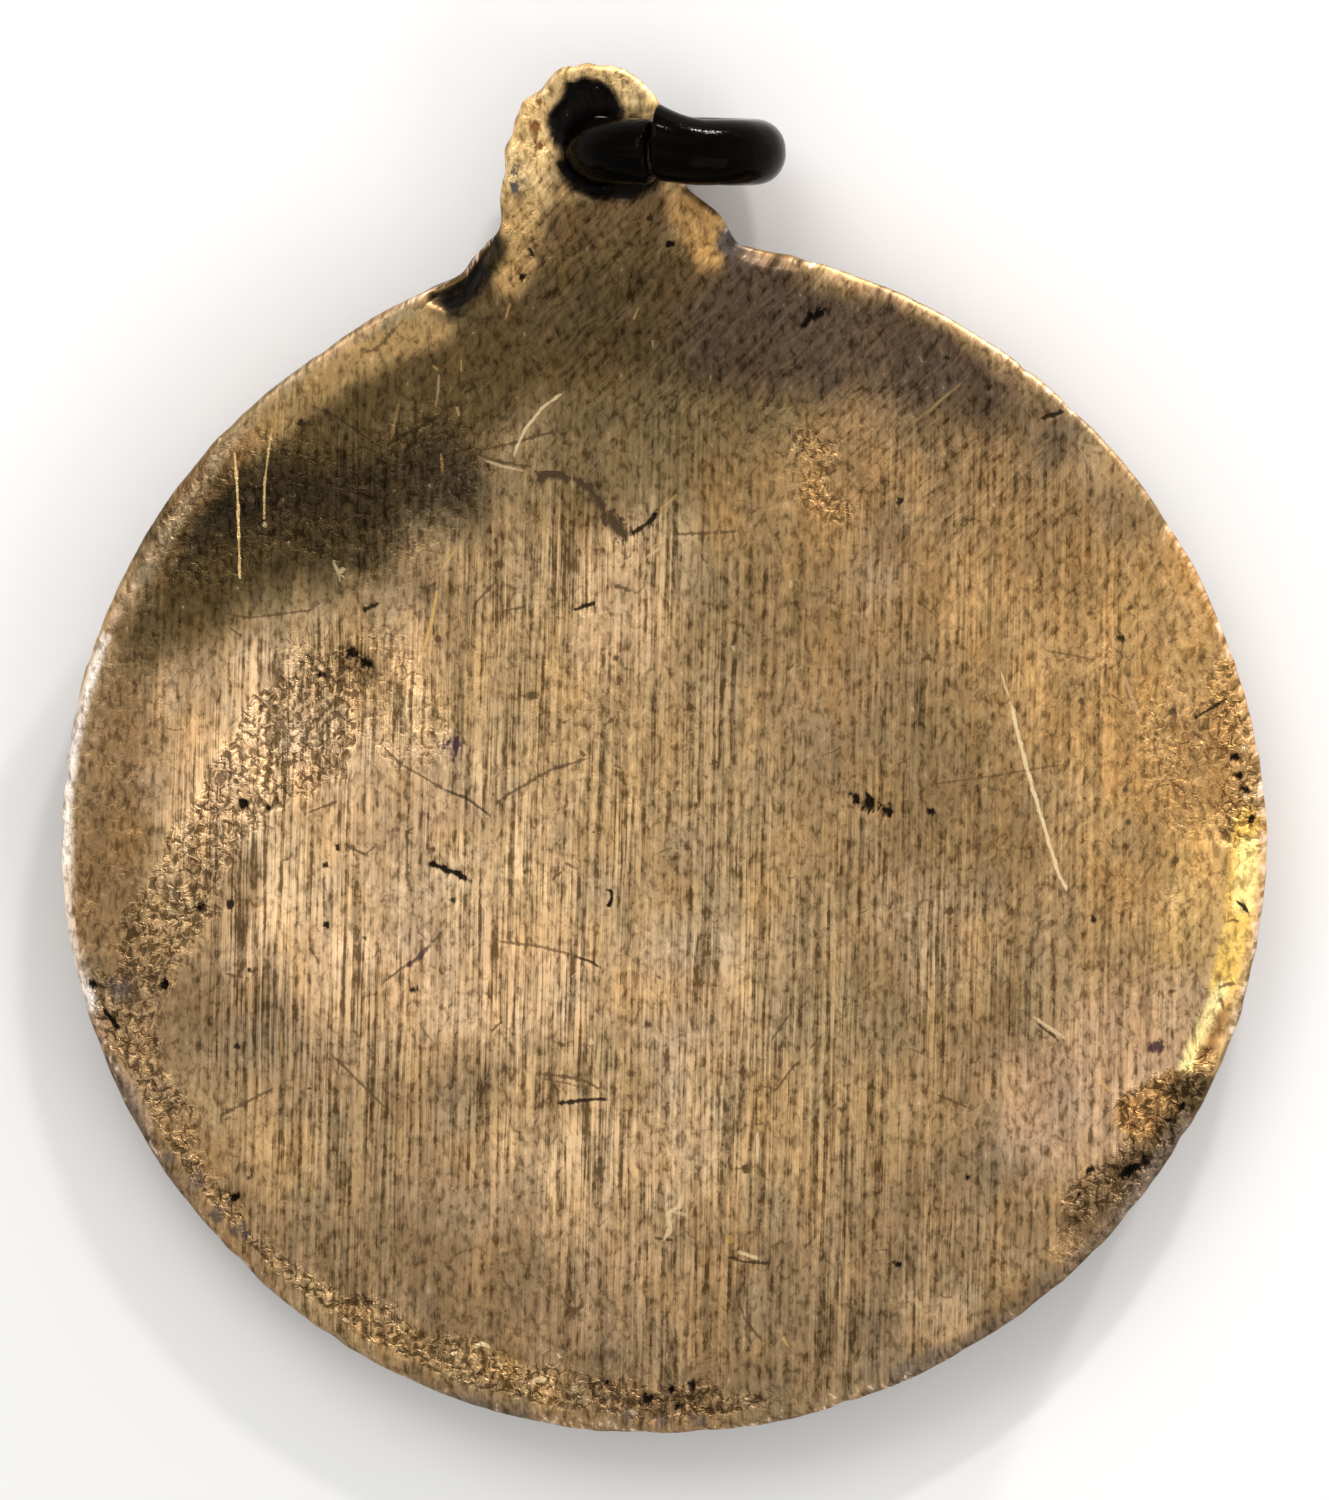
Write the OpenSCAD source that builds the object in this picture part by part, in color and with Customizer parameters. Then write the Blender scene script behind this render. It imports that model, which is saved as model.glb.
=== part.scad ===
// A round brass medal with a flat eyed lug and a thick split jump ring.
// It lies back up: the ring passes under the lug and props it, so the disc leans a little.
// The origin is the middle of the bounding box, on the table. +Y runs from the disc to the lug.

/* [Disc] */
// Diameter of the disc
disc_d = 30; // [26:0.5:36]
// Thickness of the disc at its rim
disc_t = 2.4; // [2:0.1:3]
// Radius that wear has put on the disc's outer edges
edge_r = 0.3; // [0.15:0.05:0.5]
// Width of the raised rim on the underside
rim_w = 1.2; // [0.8:0.1:2]
// Depth of the plain field inside the rim
field_depth = 0.4; // [0.2:0.05:0.6]

/* [Lug] */
// Thickness of the lug
lug_t = 1.2; // [1:0.05:1.25]
// Radius of the lug's round head
lug_head_r = 2.1; // [2:0.05:2.4]
// Distance from the disc's edge to the middle of the hole
hole_out = 2.4; // [2.4:0.1:3]
// Radius of the hole
hole_r = 0.98; // [0.96:0.01:1.05]
// Bevel at both mouths of the hole
hole_bevel = 0.12; // [0.05:0.01:0.2]
// Radius of the hollow corner between the neck and the disc
corner_r = 2; // [1:0.1:2.5]
// How far the hollow corners lie below the back
corner_drop = 0.4; // [0.1:0.05:0.6]

/* [Jump ring] */
// Outer diameter of the ring
ring_d = 5.6; // [5.5:0.1:6.5]
// Diameter of the ring's wire
wire_d = 1.65; // [1.4:0.05:1.7]
// Width of the slit where the wire's ends meet
slit_w = 0.12; // [0.05:0.01:0.3]
// Lean of the ring from upright, its top towards the lug's tip
ring_lean = 2; // [0:1:9]

/* [Hidden] */
$fn = 96;

brass = [0.62, 0.5, 0.3];
black_bronze = [0.1, 0.08, 0.07];
// how far a cut runs past the metal
over = 1;

disc_r = disc_d / 2;
hole_y = disc_r + hole_out;
neck_half = lug_head_r;
rim_slope = field_depth * 0.6;

// the hollow corner's circle touches the neck's side and the disc's edge
corner_x = neck_half + corner_r;
corner_y = sqrt(pow(disc_r + corner_r, 2) - pow(corner_x, 2));
corner_touch = disc_r / (disc_r + corner_r);

// the dent that the ring has worn into the back beside the hole
dent_r = 1.3;
dent_depth = 0.22;
dent_shift = 0.75;

// the ring's wire runs through the middle of the hole
wire_r = wire_d / 2;
ring_mid_r = ring_d / 2 - wire_r;
ring_side_in = sqrt(pow(ring_mid_r - wire_r, 2) - pow(lug_t / 2, 2));
ring_out = (ring_d / 2 + ring_side_in) / 2;
slit_angle = slit_w / ring_mid_r * 180 / PI;
slit_from_top = 13;

// seen from above, the ring's plane is square to the line from the disc's middle to the ring's middle
lug_turn = asin(ring_out / hole_y);
ring_y = hole_y * cos(lug_turn);
ring_z = ring_mid_r * cos(ring_lean) + wire_r;

// the lean at which the disc's far edge and the ring's lowest point both touch the table:
// tilt_a * cos(tilt) + tilt_b * sin(tilt) = tilt_c
tilt_a = disc_t - edge_r - lug_t / 2;
tilt_b = disc_r - edge_r + ring_y;
tilt_c = ring_z - edge_r;
tilt = asin(tilt_c / sqrt(pow(tilt_a, 2) + pow(tilt_b, 2))) - atan(tilt_a / tilt_b);
back_z = (disc_t - edge_r) * cos(tilt) + (disc_r - edge_r) * sin(tilt) + edge_r;

// from the disc's middle to the middle of the whole outline
middle_y = (hole_y + lug_head_r - disc_r) / 2;

// half of the disc's section, its back at z = 0
module disc_section() {
    difference() {
        union() {
            translate([0, -disc_t]) square([disc_r - edge_r, disc_t]);
            translate([0, edge_r - disc_t]) square([disc_r, disc_t - 2 * edge_r]);
            translate([disc_r - edge_r, -edge_r]) circle(edge_r);
            translate([disc_r - edge_r, edge_r - disc_t]) circle(edge_r);
        }
        polygon([
            [-over, -disc_t - over],
            [disc_r - rim_w, -disc_t - over],
            [disc_r - rim_w, -disc_t],
            [disc_r - rim_w - rim_slope, field_depth - disc_t],
            [-over, field_depth - disc_t]
        ]);
        translate([-disc_d, -disc_t - over]) square([disc_d, disc_t + 2 * over]);
    }
}

// outline of the lug's neck and head
module lug_outline() {
    translate([0, hole_y]) circle(lug_head_r);
    translate([-neck_half, disc_r - rim_w]) square([2 * neck_half, rim_w + hole_out]);
}

// outline of the web that fills both corners between the neck and the disc
module corner_outline() {
    difference() {
        polygon([
            [-neck_half, corner_y],
            [neck_half, corner_y],
            [corner_x * corner_touch, corner_y * corner_touch],
            [neck_half, disc_r - rim_w],
            [-neck_half, disc_r - rim_w],
            [-corner_x * corner_touch, corner_y * corner_touch]
        ]);
        for (side = [-1, 1]) {
            translate([side * corner_x, corner_y]) circle(corner_r);
        }
    }
}

// the hole, with a bevel at both mouths
module hole_cut() {
    translate([0, hole_y, -lug_t - over]) cylinder(h = lug_t + 2 * over, r = hole_r);
    translate([0, hole_y, -hole_bevel]) {
        cylinder(h = 2 * hole_bevel, r1 = hole_r, r2 = hole_r + 2 * hole_bevel);
    }
    translate([0, hole_y, -lug_t - hole_bevel]) {
        cylinder(h = 2 * hole_bevel, r1 = hole_r + 2 * hole_bevel, r2 = hole_r);
    }
}

// the medal in its own plane, its back at z = 0
module flat_medal() {
    difference() {
        union() {
            rotate_extrude() disc_section();
            translate([0, 0, -lug_t]) linear_extrude(height = lug_t) lug_outline();
            translate([0, 0, -lug_t]) linear_extrude(height = lug_t - corner_drop) corner_outline();
        }
        hole_cut();
        translate([0, hole_y + dent_shift, dent_r - dent_depth]) sphere(dent_r);
    }
}

module medal() {
    color(brass)
    translate([0, -middle_y, back_z])
    rotate([0, 0, -lug_turn])
    rotate([tilt, 0, 0])
    rotate([0, 0, lug_turn])
    flat_medal();
}

// the ring upright in the XZ plane, its slit just left of the top
module upright_ring() {
    rotate([90, 0, 0])
    rotate([0, 0, 90 + slit_from_top + slit_angle / 2])
    rotate_extrude(angle = 360 - slit_angle)
    translate([ring_mid_r, 0])
    circle(wire_r);
}

module jump_ring() {
    color(black_bronze)
    translate([0, -middle_y, 0])
    rotate([0, 0, -lug_turn])
    translate([0, ring_y, ring_z])
    rotate([-ring_lean, 0, 0])
    upright_ring();
}

medal();
jump_ring();
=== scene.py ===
import bpy
import numpy as np
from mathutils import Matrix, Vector
from mathutils.geometry import delaunay_2d_cdt


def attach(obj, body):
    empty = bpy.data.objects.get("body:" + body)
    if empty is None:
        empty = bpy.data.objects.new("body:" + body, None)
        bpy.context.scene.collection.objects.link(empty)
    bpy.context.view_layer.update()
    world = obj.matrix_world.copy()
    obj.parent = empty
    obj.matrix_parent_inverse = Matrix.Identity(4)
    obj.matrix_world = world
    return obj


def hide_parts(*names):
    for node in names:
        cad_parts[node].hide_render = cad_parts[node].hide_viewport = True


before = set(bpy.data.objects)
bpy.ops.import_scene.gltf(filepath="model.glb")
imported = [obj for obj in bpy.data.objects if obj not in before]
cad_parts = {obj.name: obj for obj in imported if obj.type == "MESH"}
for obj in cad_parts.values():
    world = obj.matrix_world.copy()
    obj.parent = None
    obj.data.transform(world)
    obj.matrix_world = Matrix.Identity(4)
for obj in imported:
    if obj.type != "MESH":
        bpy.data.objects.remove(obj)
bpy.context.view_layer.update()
print("frame loaded:", ", ".join(sorted(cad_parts)))

# Places on the medal are given as pixels of the photograph, in its 1329 by 1500 frame.
# Sizes are millimetres unless a name says pixels. "Plan" is the medal's own flat frame as photographed:
# x to the picture's right, y up it, z out of the back, and the disc's middle at zero.
# A noise is written as its strength * layered(x, y, period, seed).
photo = {
    "middle": (664.0, 839.0),  # pixel of the disc's middle
    "perMm": (40.1, 39.95),    # pixels to a millimetre, across and up
    "lean": 5.44,              # degrees that the lug leans to the left of upright
}

# the same driving sizes as in the part's source
medalSize = {
    "radius": 15.0,
    "thick": 2.4,
    "edge": 0.3,
    "rimWidth": 1.2,
    "fieldDepth": 0.4,
    "lugThick": 1.2,
    "headRadius": 2.1,
    "holeOut": 2.4,
    "holeRadius": 0.98,
    "holeBevel": 0.12,
    "cornerDrop": 0.4,
    "dentRadius": 1.3,
    "dentDepth": 0.22,
    "dentShift": 0.75,
}
ringSize = {
    "across": 5.6,
    "wire": 1.65,
    "slit": 0.12,
    "slitFromTop": 13.0,
    "lean": 2.0,
    "hang": 0.12,       # how far the ring hangs towards the disc from the middle of the hole
}

# colours as the eye sees them, 0 to 255
tints = {
    "tan": (168, 138, 97),
    "pale": (203, 168, 126),
    "pinkTan": (190, 155, 119),
    "cream": (238, 210, 162),
    # bare metal, also used for the painted highlights along the rim
    "bareEdgeAndHighlight": (240, 214, 190),
    # the next two are painted highlights along the rim's rounded edge
    "paintedRosyHighlight": (210, 176, 146),
    "paintedRimHighlight": (252, 236, 220),
    "straw": (214, 180, 124),
    "dusk": (130, 105, 75),
    "dun": (146, 115, 76),
    "olive": (116, 95, 62),
    "darkOlive": (80, 64, 38),
    "soot": (44, 36, 23),
    "black": (14, 11, 9),
    "earth": (84, 67, 43),
    "umber": (96, 75, 50),
    "brown": (118, 91, 59),
    "plum": (80, 64, 49),
    "stone": (112, 95, 78),
    "drab": (76, 60, 42),
    "sage": (140, 122, 90),
    "sideBrass": (132, 99, 54),
    "slate": (84, 76, 74),
    "violet": (72, 48, 58),
    "rust": (126, 84, 46),
    "honey": (156, 117, 70),
    "ochre": (170, 138, 90),
    "amber": (180, 138, 84),
    "gold": (212, 170, 104),
    "brightGold": (222, 178, 92),
    # a painted highlight, used on the right edge's bevel
    "paintedHighlight": (255, 226, 150),
}


# Number tools

noiseCells = 128     # a noise repeats after this many periods
layerTurn = 37       # degrees between one layer of a noise and the next


def linear(colour):
    # colours of 0 to 255 as the light values that shaders use
    c = np.clip(np.asarray(colour, float) / 255, 0, 1)
    return np.where(c <= 0.04045, c / 12.92, ((c + 0.055) / 1.055) ** 2.4)


def tinted(name, strength=1.0):
    # a tint's light values with a fourth value after them
    return np.append(linear(tints[name]), strength)


def plan(pixels):
    # pixels of the photograph to millimetres from the disc's middle, x right and y up
    return (np.asarray(pixels, float) - photo["middle"]) * (1, -1) / photo["perMm"]


def pixelSize(pixels):
    # a length in pixels as millimetres
    return pixels / photo["perMm"][0]


def smooth(x):
    # 0 below 0, 1 above 1, and an even rise between
    x = np.clip(x, 0, 1)
    return x * x * (3 - 2 * x)


def turned(x, y, degrees):
    # points turned anticlockwise about zero: x cos a - y sin a, and x sin a + y cos a
    a = np.radians(degrees)
    return x * np.cos(a) - y * np.sin(a), x * np.sin(a) + y * np.cos(a)


def onCircle(angle):
    # the points of a circle of radius 1 at angles in radians
    return np.column_stack([np.cos(angle), np.sin(angle)])


def noise(x, y, period, seed):
    # values drawn at the corners of squares one period wide, blended smoothly between them
    u = x / period
    v = y / period
    i = np.floor(u).astype(int)
    j = np.floor(v).astype(int)
    fu = smooth(u - i)
    fv = smooth(v - j)
    drawn = np.random.default_rng(seed).uniform(-1, 1, (noiseCells, noiseCells))
    left, right = i % noiseCells, (i + 1) % noiseCells
    below, above = j % noiseCells, (j + 1) % noiseCells
    low = drawn[left, below] * (1 - fu) + drawn[right, below] * fu
    high = drawn[left, above] * (1 - fu) + drawn[right, above] * fu
    return low * (1 - fv) + high * fv


def layered(x, y, period, seed, layers=3):
    # noise at a period, half of it, a quarter of it, each half as strong and turned
    total = 0
    for k in range(layers):
        u, v = turned(x, y, layerTurn * k)
        total = total + noise(u, v, period / 2 ** k, seed + k) / 2 ** k
    return total


def smoothPath(points, spacing):
    # a curve through the points: cubic pieces whose slopes come from the neighbouring points
    p = np.asarray(points, float)
    s = np.concatenate([[0], np.cumsum(np.hypot(*np.diff(p, axis=0).T))])
    slope = np.gradient(p, s, axis=0)
    t = np.linspace(0, s[-1], int(round(s[-1] / spacing)) + 1)
    k = np.clip(np.searchsorted(s, t, side="right") - 1, 0, len(s) - 2)
    h = (s[k + 1] - s[k])[:, None]
    u = (t - s[k])[:, None] / h
    start = (1 + 2 * u) * (1 - u) ** 2 * p[k] + u * (1 - u) ** 2 * h * slope[k]
    return start + u * u * (3 - 2 * u) * p[k + 1] - u * u * (1 - u) * h * slope[k + 1]


def alongLine(x, y, points):
    # nearest place on a line of straight pieces: signed distance, distance run along it, or -1 beyond its
    # ends, and its length
    p = np.asarray(points, float)
    a = p[:-1]
    d = np.diff(p, axis=0)
    lengths = np.hypot(*d.T)
    rel = np.stack([x[:, None] - a[:, 0], y[:, None] - a[:, 1]])
    run = (rel[0] * d[:, 0] + rel[1] * d[:, 1]) / lengths ** 2
    near = np.clip(run, 0, 1)
    away = np.hypot(rel[0] - near * d[:, 0], rel[1] - near * d[:, 1])
    side = np.sign(rel[1] * d[:, 0] - rel[0] * d[:, 1])
    best = away.argmin(1)
    rows = np.arange(len(x))
    before = np.concatenate([[0], np.cumsum(lengths)[:-1]])
    beyond = (run[rows, best] < 0) & (best == 0) | (run[rows, best] > 1) & (best == len(a) - 1)
    along = before[best] + near[rows, best] * lengths[best]
    return away[rows, best] * side[rows, best], np.where(beyond, -1, along), lengths.sum()


def insideBy(x, y, polygon):
    # how far inside a closed outline each point lies, negative outside
    p = np.asarray(polygon, float)
    q = np.roll(p, -1, axis=0)
    away = np.abs(alongLine(x, y, np.vstack([p, p[:1]]))[0])
    crosses = (p[:, 1] > y[:, None]) != (q[:, 1] > y[:, None])
    rise = np.where(q[:, 1] == p[:, 1], 1, q[:, 1] - p[:, 1])
    at = p[:, 0] + (y[:, None] - p[:, 1]) * (q[:, 0] - p[:, 0]) / rise
    odd = (crosses & (x[:, None] < at)).sum(1) % 2
    return np.where(odd == 1, away, -away)


# How the medal rests: the same sums as in the part's source

def restingPose():
    # the ring props the lug, so the disc leans on its far edge until both touch the floor
    m, r = medalSize, ringSize
    holeY = m["radius"] + m["holeOut"]
    wire = r["wire"] / 2
    middle = r["across"] / 2 - wire
    inner = np.sqrt((middle - wire) ** 2 - (m["lugThick"] / 2) ** 2)
    lugTurn = np.arcsin((r["across"] / 2 + inner) / 2 / holeY)
    ringY = holeY * np.cos(lugTurn)
    ringZ = middle * np.cos(np.radians(r["lean"])) + wire
    flat = m["radius"] - m["edge"]
    a = m["thick"] - m["edge"] - m["lugThick"] / 2
    b = flat + ringY
    tilt = np.arcsin((ringZ - m["edge"]) / np.hypot(a, b)) - np.arctan(a / b)
    backZ = (m["thick"] - m["edge"]) * np.cos(tilt) + flat * np.sin(tilt) + m["edge"]
    return {
        "holeY": holeY,
        "lugTurn": np.degrees(lugTurn),
        "tilt": np.degrees(tilt),
        "backZ": backZ,
        "middleY": (holeY + m["headRadius"] - m["radius"]) / 2,
        "ringY": ringY,
        "ringZ": ringZ,
        "ringMiddle": middle,
    }


pose = restingPose()
holeAt = np.array(turned(0, pose["holeY"], photo["lean"]))


def place(points):
    # plan millimetres to the frame's metres: turned upright, leaned by the tilt and lifted off the floor
    x, y = turned(points[:, 0], points[:, 1], pose["lugTurn"] - photo["lean"])
    y, z = turned(y, points[:, 2], pose["tilt"])
    x, y = turned(x, y, -pose["lugTurn"])
    return np.column_stack([x, y - pose["middleY"], z + pose["backZ"]]) / 1000


# Meshes

def atHeight(points, z):
    # plan points with one height, or with a height each
    return np.column_stack([points, np.broadcast_to(z, len(points))])


def startShell():
    # an empty surface, to which bands and sheets are added
    return {"points": [], "faces": [], "zones": [], "edges": [], "count": 0}


def put(shell, points, zone, edge=0.0):
    # adds points with their zone and how exposed to wear they are, and returns their numbers
    numbers = np.arange(len(points)) + shell["count"]
    shell["points"].append(np.asarray(points, float))
    shell["zones"].append(np.full(len(points), zone))
    shell["edges"].append(np.full(len(points), edge))
    shell["count"] += len(points)
    return numbers


def band(shell, upper, lower, closed=True):
    # two triangles between each pair of neighbours in two rows, facing right of the rows' way
    a, b = (upper, lower) if closed else (upper[:-1], lower[:-1])
    c, d = (np.roll(upper, -1), np.roll(lower, -1)) if closed else (upper[1:], lower[1:])
    faces = np.vstack([np.column_stack([b, d, c]), np.column_stack([b, c, a])])
    same = (faces[:, 0] == faces[:, 1]) | (faces[:, 1] == faces[:, 2]) | (faces[:, 0] == faces[:, 2])
    shell["faces"].append(faces[~same])


def fill(shell, outer, hole, inner, up=True):
    # Blender's own triangulation of a sheet between an outline and a hole, through the inner points
    numbers = np.concatenate([outer, hole, inner]).astype(int)
    flat = np.vstack(shell["points"])[numbers, :2]
    n, h = len(outer), len(hole)
    edges = np.column_stack([np.arange(h), np.roll(np.arange(h), -1)]) + n
    keepInside, nearness = 1, 1e-7
    made = delaunay_2d_cdt(flat.tolist(), edges.tolist(), [list(range(n))], keepInside, nearness)
    faces = np.array(made[2])
    inHole = ((faces >= n) & (faces < n + h)).all(1)
    faces = faces[~inHole]
    a, b, c = flat[faces[:, 0]], flat[faces[:, 1]], flat[faces[:, 2]]
    area = (b[:, 0] - a[:, 0]) * (c[:, 1] - a[:, 1]) - (b[:, 1] - a[:, 1]) * (c[:, 0] - a[:, 0])
    wrong = (area < 0) if up else (area > 0)
    faces[wrong] = faces[wrong][:, ::-1]
    shell["faces"].append(numbers[faces])


def meshPiece(name, points, faces, attributes, material):
    # one smooth-shaded piece from arrays; an attribute has 1 value a point, 3 or 4
    mesh = bpy.data.meshes.new(name)
    mesh.vertices.add(len(points))
    mesh.vertices.foreach_set("co", points.astype(np.float32).ravel())
    mesh.loops.add(faces.size)
    mesh.loops.foreach_set("vertex_index", faces.astype(np.int32).ravel())
    mesh.polygons.add(len(faces))
    mesh.polygons.foreach_set("loop_start", np.arange(0, faces.size, 3, dtype=np.int32))
    mesh.update(calc_edges=True)
    mesh.validate()
    mesh.shade_smooth()
    kinds = {1: ("FLOAT", "value"), 3: ("FLOAT_VECTOR", "vector"), 4: ("FLOAT_COLOR", "color")}
    for label, values in attributes.items():
        values = np.asarray(values, np.float32)
        kind, field = kinds[1 if values.ndim == 1 else values.shape[1]]
        made = mesh.attributes.new(label, kind, "POINT")
        made.data.foreach_set(field, values.ravel())
    mesh.materials.append(material)
    piece = bpy.data.objects.new(name, mesh)
    bpy.context.scene.collection.objects.link(piece)
    print(name + ":", len(points), "points,", len(faces), "triangles")
    return piece


# Chart of the medal's back, read off the photograph

# the disc's radius by the angle from the picture's right: it is slightly out of round
discRadii = [
    (0, 15.04), (20, 14.88), (45, 14.88), (58, 14.94), (78, 15.05), (115, 15.05), (125, 14.97),
    (140, 15.03), (220, 15.03), (235, 15.12), (250, 15.12), (272, 15.08), (300, 14.98), (326, 14.98),
    (338, 15.04), (360, 15.04),
]
lugOutline = [
    (775, 258), (752, 251), (738, 246), (731, 236), (724, 222), (702, 201), (684, 185), (676, 167),
    (672, 146), (666, 121), (655, 98), (640, 81), (624, 70), (606, 65), (587, 64), (568, 67), (549, 76),
    (537, 88), (521, 100), (514, 118), (506, 142), (503, 164), (500, 200), (499, 222), (491, 237),
    (479, 252), (464, 275), (446, 287), (425, 297),
]
edgeNicks = [
    # x, y, width and depth of a nick in the rim, in pixels
    (79, 708, 8, 3), (63, 832, 8, 2), (66, 776, 7, 2), (70, 745, 6, 2), (844, 1401, 10, 2),
    (1024, 371, 6, 2), (1070, 408, 7, 1.5), (93, 985, 10, 2.5), (1262, 690, 8, 2), (1259, 742, 9, 2),
    (541, 82, 12, 4), (528, 92, 10, 4), (515, 108, 12, 4), (503, 132, 12, 4), (500, 172, 10, 3),
    (494, 235, 8, 3), (600, 63, 8, 2), (575, 64, 8, 2), (1185, 1135, 12, 1.5), (1128, 1214, 12, 1.5),
    (240, 1260, 12, 2), (330, 1335, 14, 2), (640, 1430, 12, 2), (700, 1430, 12, 2),
]
leftCorner = [(501, 214), (497, 250), (484, 278), (468, 303), (444, 312), (426, 304), (428, 280),
              (462, 250), (486, 222)]
rightCorner = [(727, 218), (729, 246), (741, 260), (765, 268), (800, 271), (798, 250), (760, 238), (742, 222)]
# the hollow round the hole: a shallow dent, painted black as shade in the countersink and under the ring
holeHollow = [
    (584, 78), (568, 85), (561, 101), (550, 115), (547, 126), (555, 158), (561, 178), (573, 191),
    (596, 199), (631, 203), (652, 190), (680, 160), (668, 128), (645, 124), (628, 118), (617, 96), (603, 83),
]
# outlines of the pitted ground
pittedBand = [
    (300, 662), (345, 638), (380, 662), (366, 712), (341, 775), (272, 811), (246, 844), (236, 870),
    (213, 918), (184, 964), (160, 1000), (158, 1055), (182, 1104), (205, 1165), (250, 1225), (300, 1268),
    (350, 1290), (430, 1330), (520, 1362), (640, 1383), (760, 1398), (790, 1440), (640, 1470),
    (400, 1400), (200, 1270), (90, 1090), (85, 985), (108, 962), (129, 903), (149, 872), (172, 842),
    (193, 803), (216, 758), (240, 706),
]
pittedPatches = [
    # strength, half width, softness and centre line of further pitted ground, in pixels
    (0.62, 28, 36, [(375, 665), (412, 730)]),
    (0.6, 12, 24, [(300, 650), (360, 650)]),
    (0.95, 26, 30, [(1240, 690), (1258, 760), (1250, 815)]),
    (0.62, 28, 40, [(1180, 715), (1196, 800)]),
    (0.36, 12, 10, [(1242, 850), (1232, 940), (1214, 1010)]),
    (0.9, 8, 12, [(1205, 1062), (1190, 1086)]),
    (1.0, 20, 16, [(1140, 1115), (1180, 1090)]),
    (1.0, 16, 16, [(1080, 1205), (1125, 1175), (1160, 1130)]),
    (0.7, 18, 18, [(1075, 1250), (1120, 1225)]),
    (0.85, 9, 18, [(808, 438), (822, 462), (812, 500), (836, 512)]),
    (0.55, 10, 14, [(525, 110), (530, 150)]),
    (0.3, 10, 30, [(560, 1350), (540, 1300)]),
    (0.4, 8, 14, [(760, 1400), (860, 1398)]),
    (0.28, 60, 90, [(420, 600), (560, 700), (600, 760)]),
    (0.4, 26, 40, [(790, 440), (840, 500)]),
    (0.3, 50, 70, [(1120, 700), (1190, 760), (1160, 850)]),
    (0.35, 14, 24, [(1180, 590), (1210, 650)]),
    (0.72, 44, 50, [(200, 530), (280, 490), (360, 510), (430, 470)]),
    (0.3, 20, 40, [(420, 420), (480, 400)]),
    (0.35, 20, 30, [(170, 590), (230, 500)]),
    (0.42, 16, 20, [(512, 110), (512, 190), (530, 240)]),
    (0.35, 10, 16, [(560, 90), (620, 80)]),
    (0.22, 20, 50, [(860, 420), (1000, 470)]),
    (0.36, 30, 40, [(150, 620), (120, 740), (105, 860), (120, 950)]),
    (0.35, 16, 40, [(560, 1360), (700, 1380)]),
    (0.9, 12, 12, [(590, 1396), (640, 1404), (710, 1404)]),
]
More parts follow.
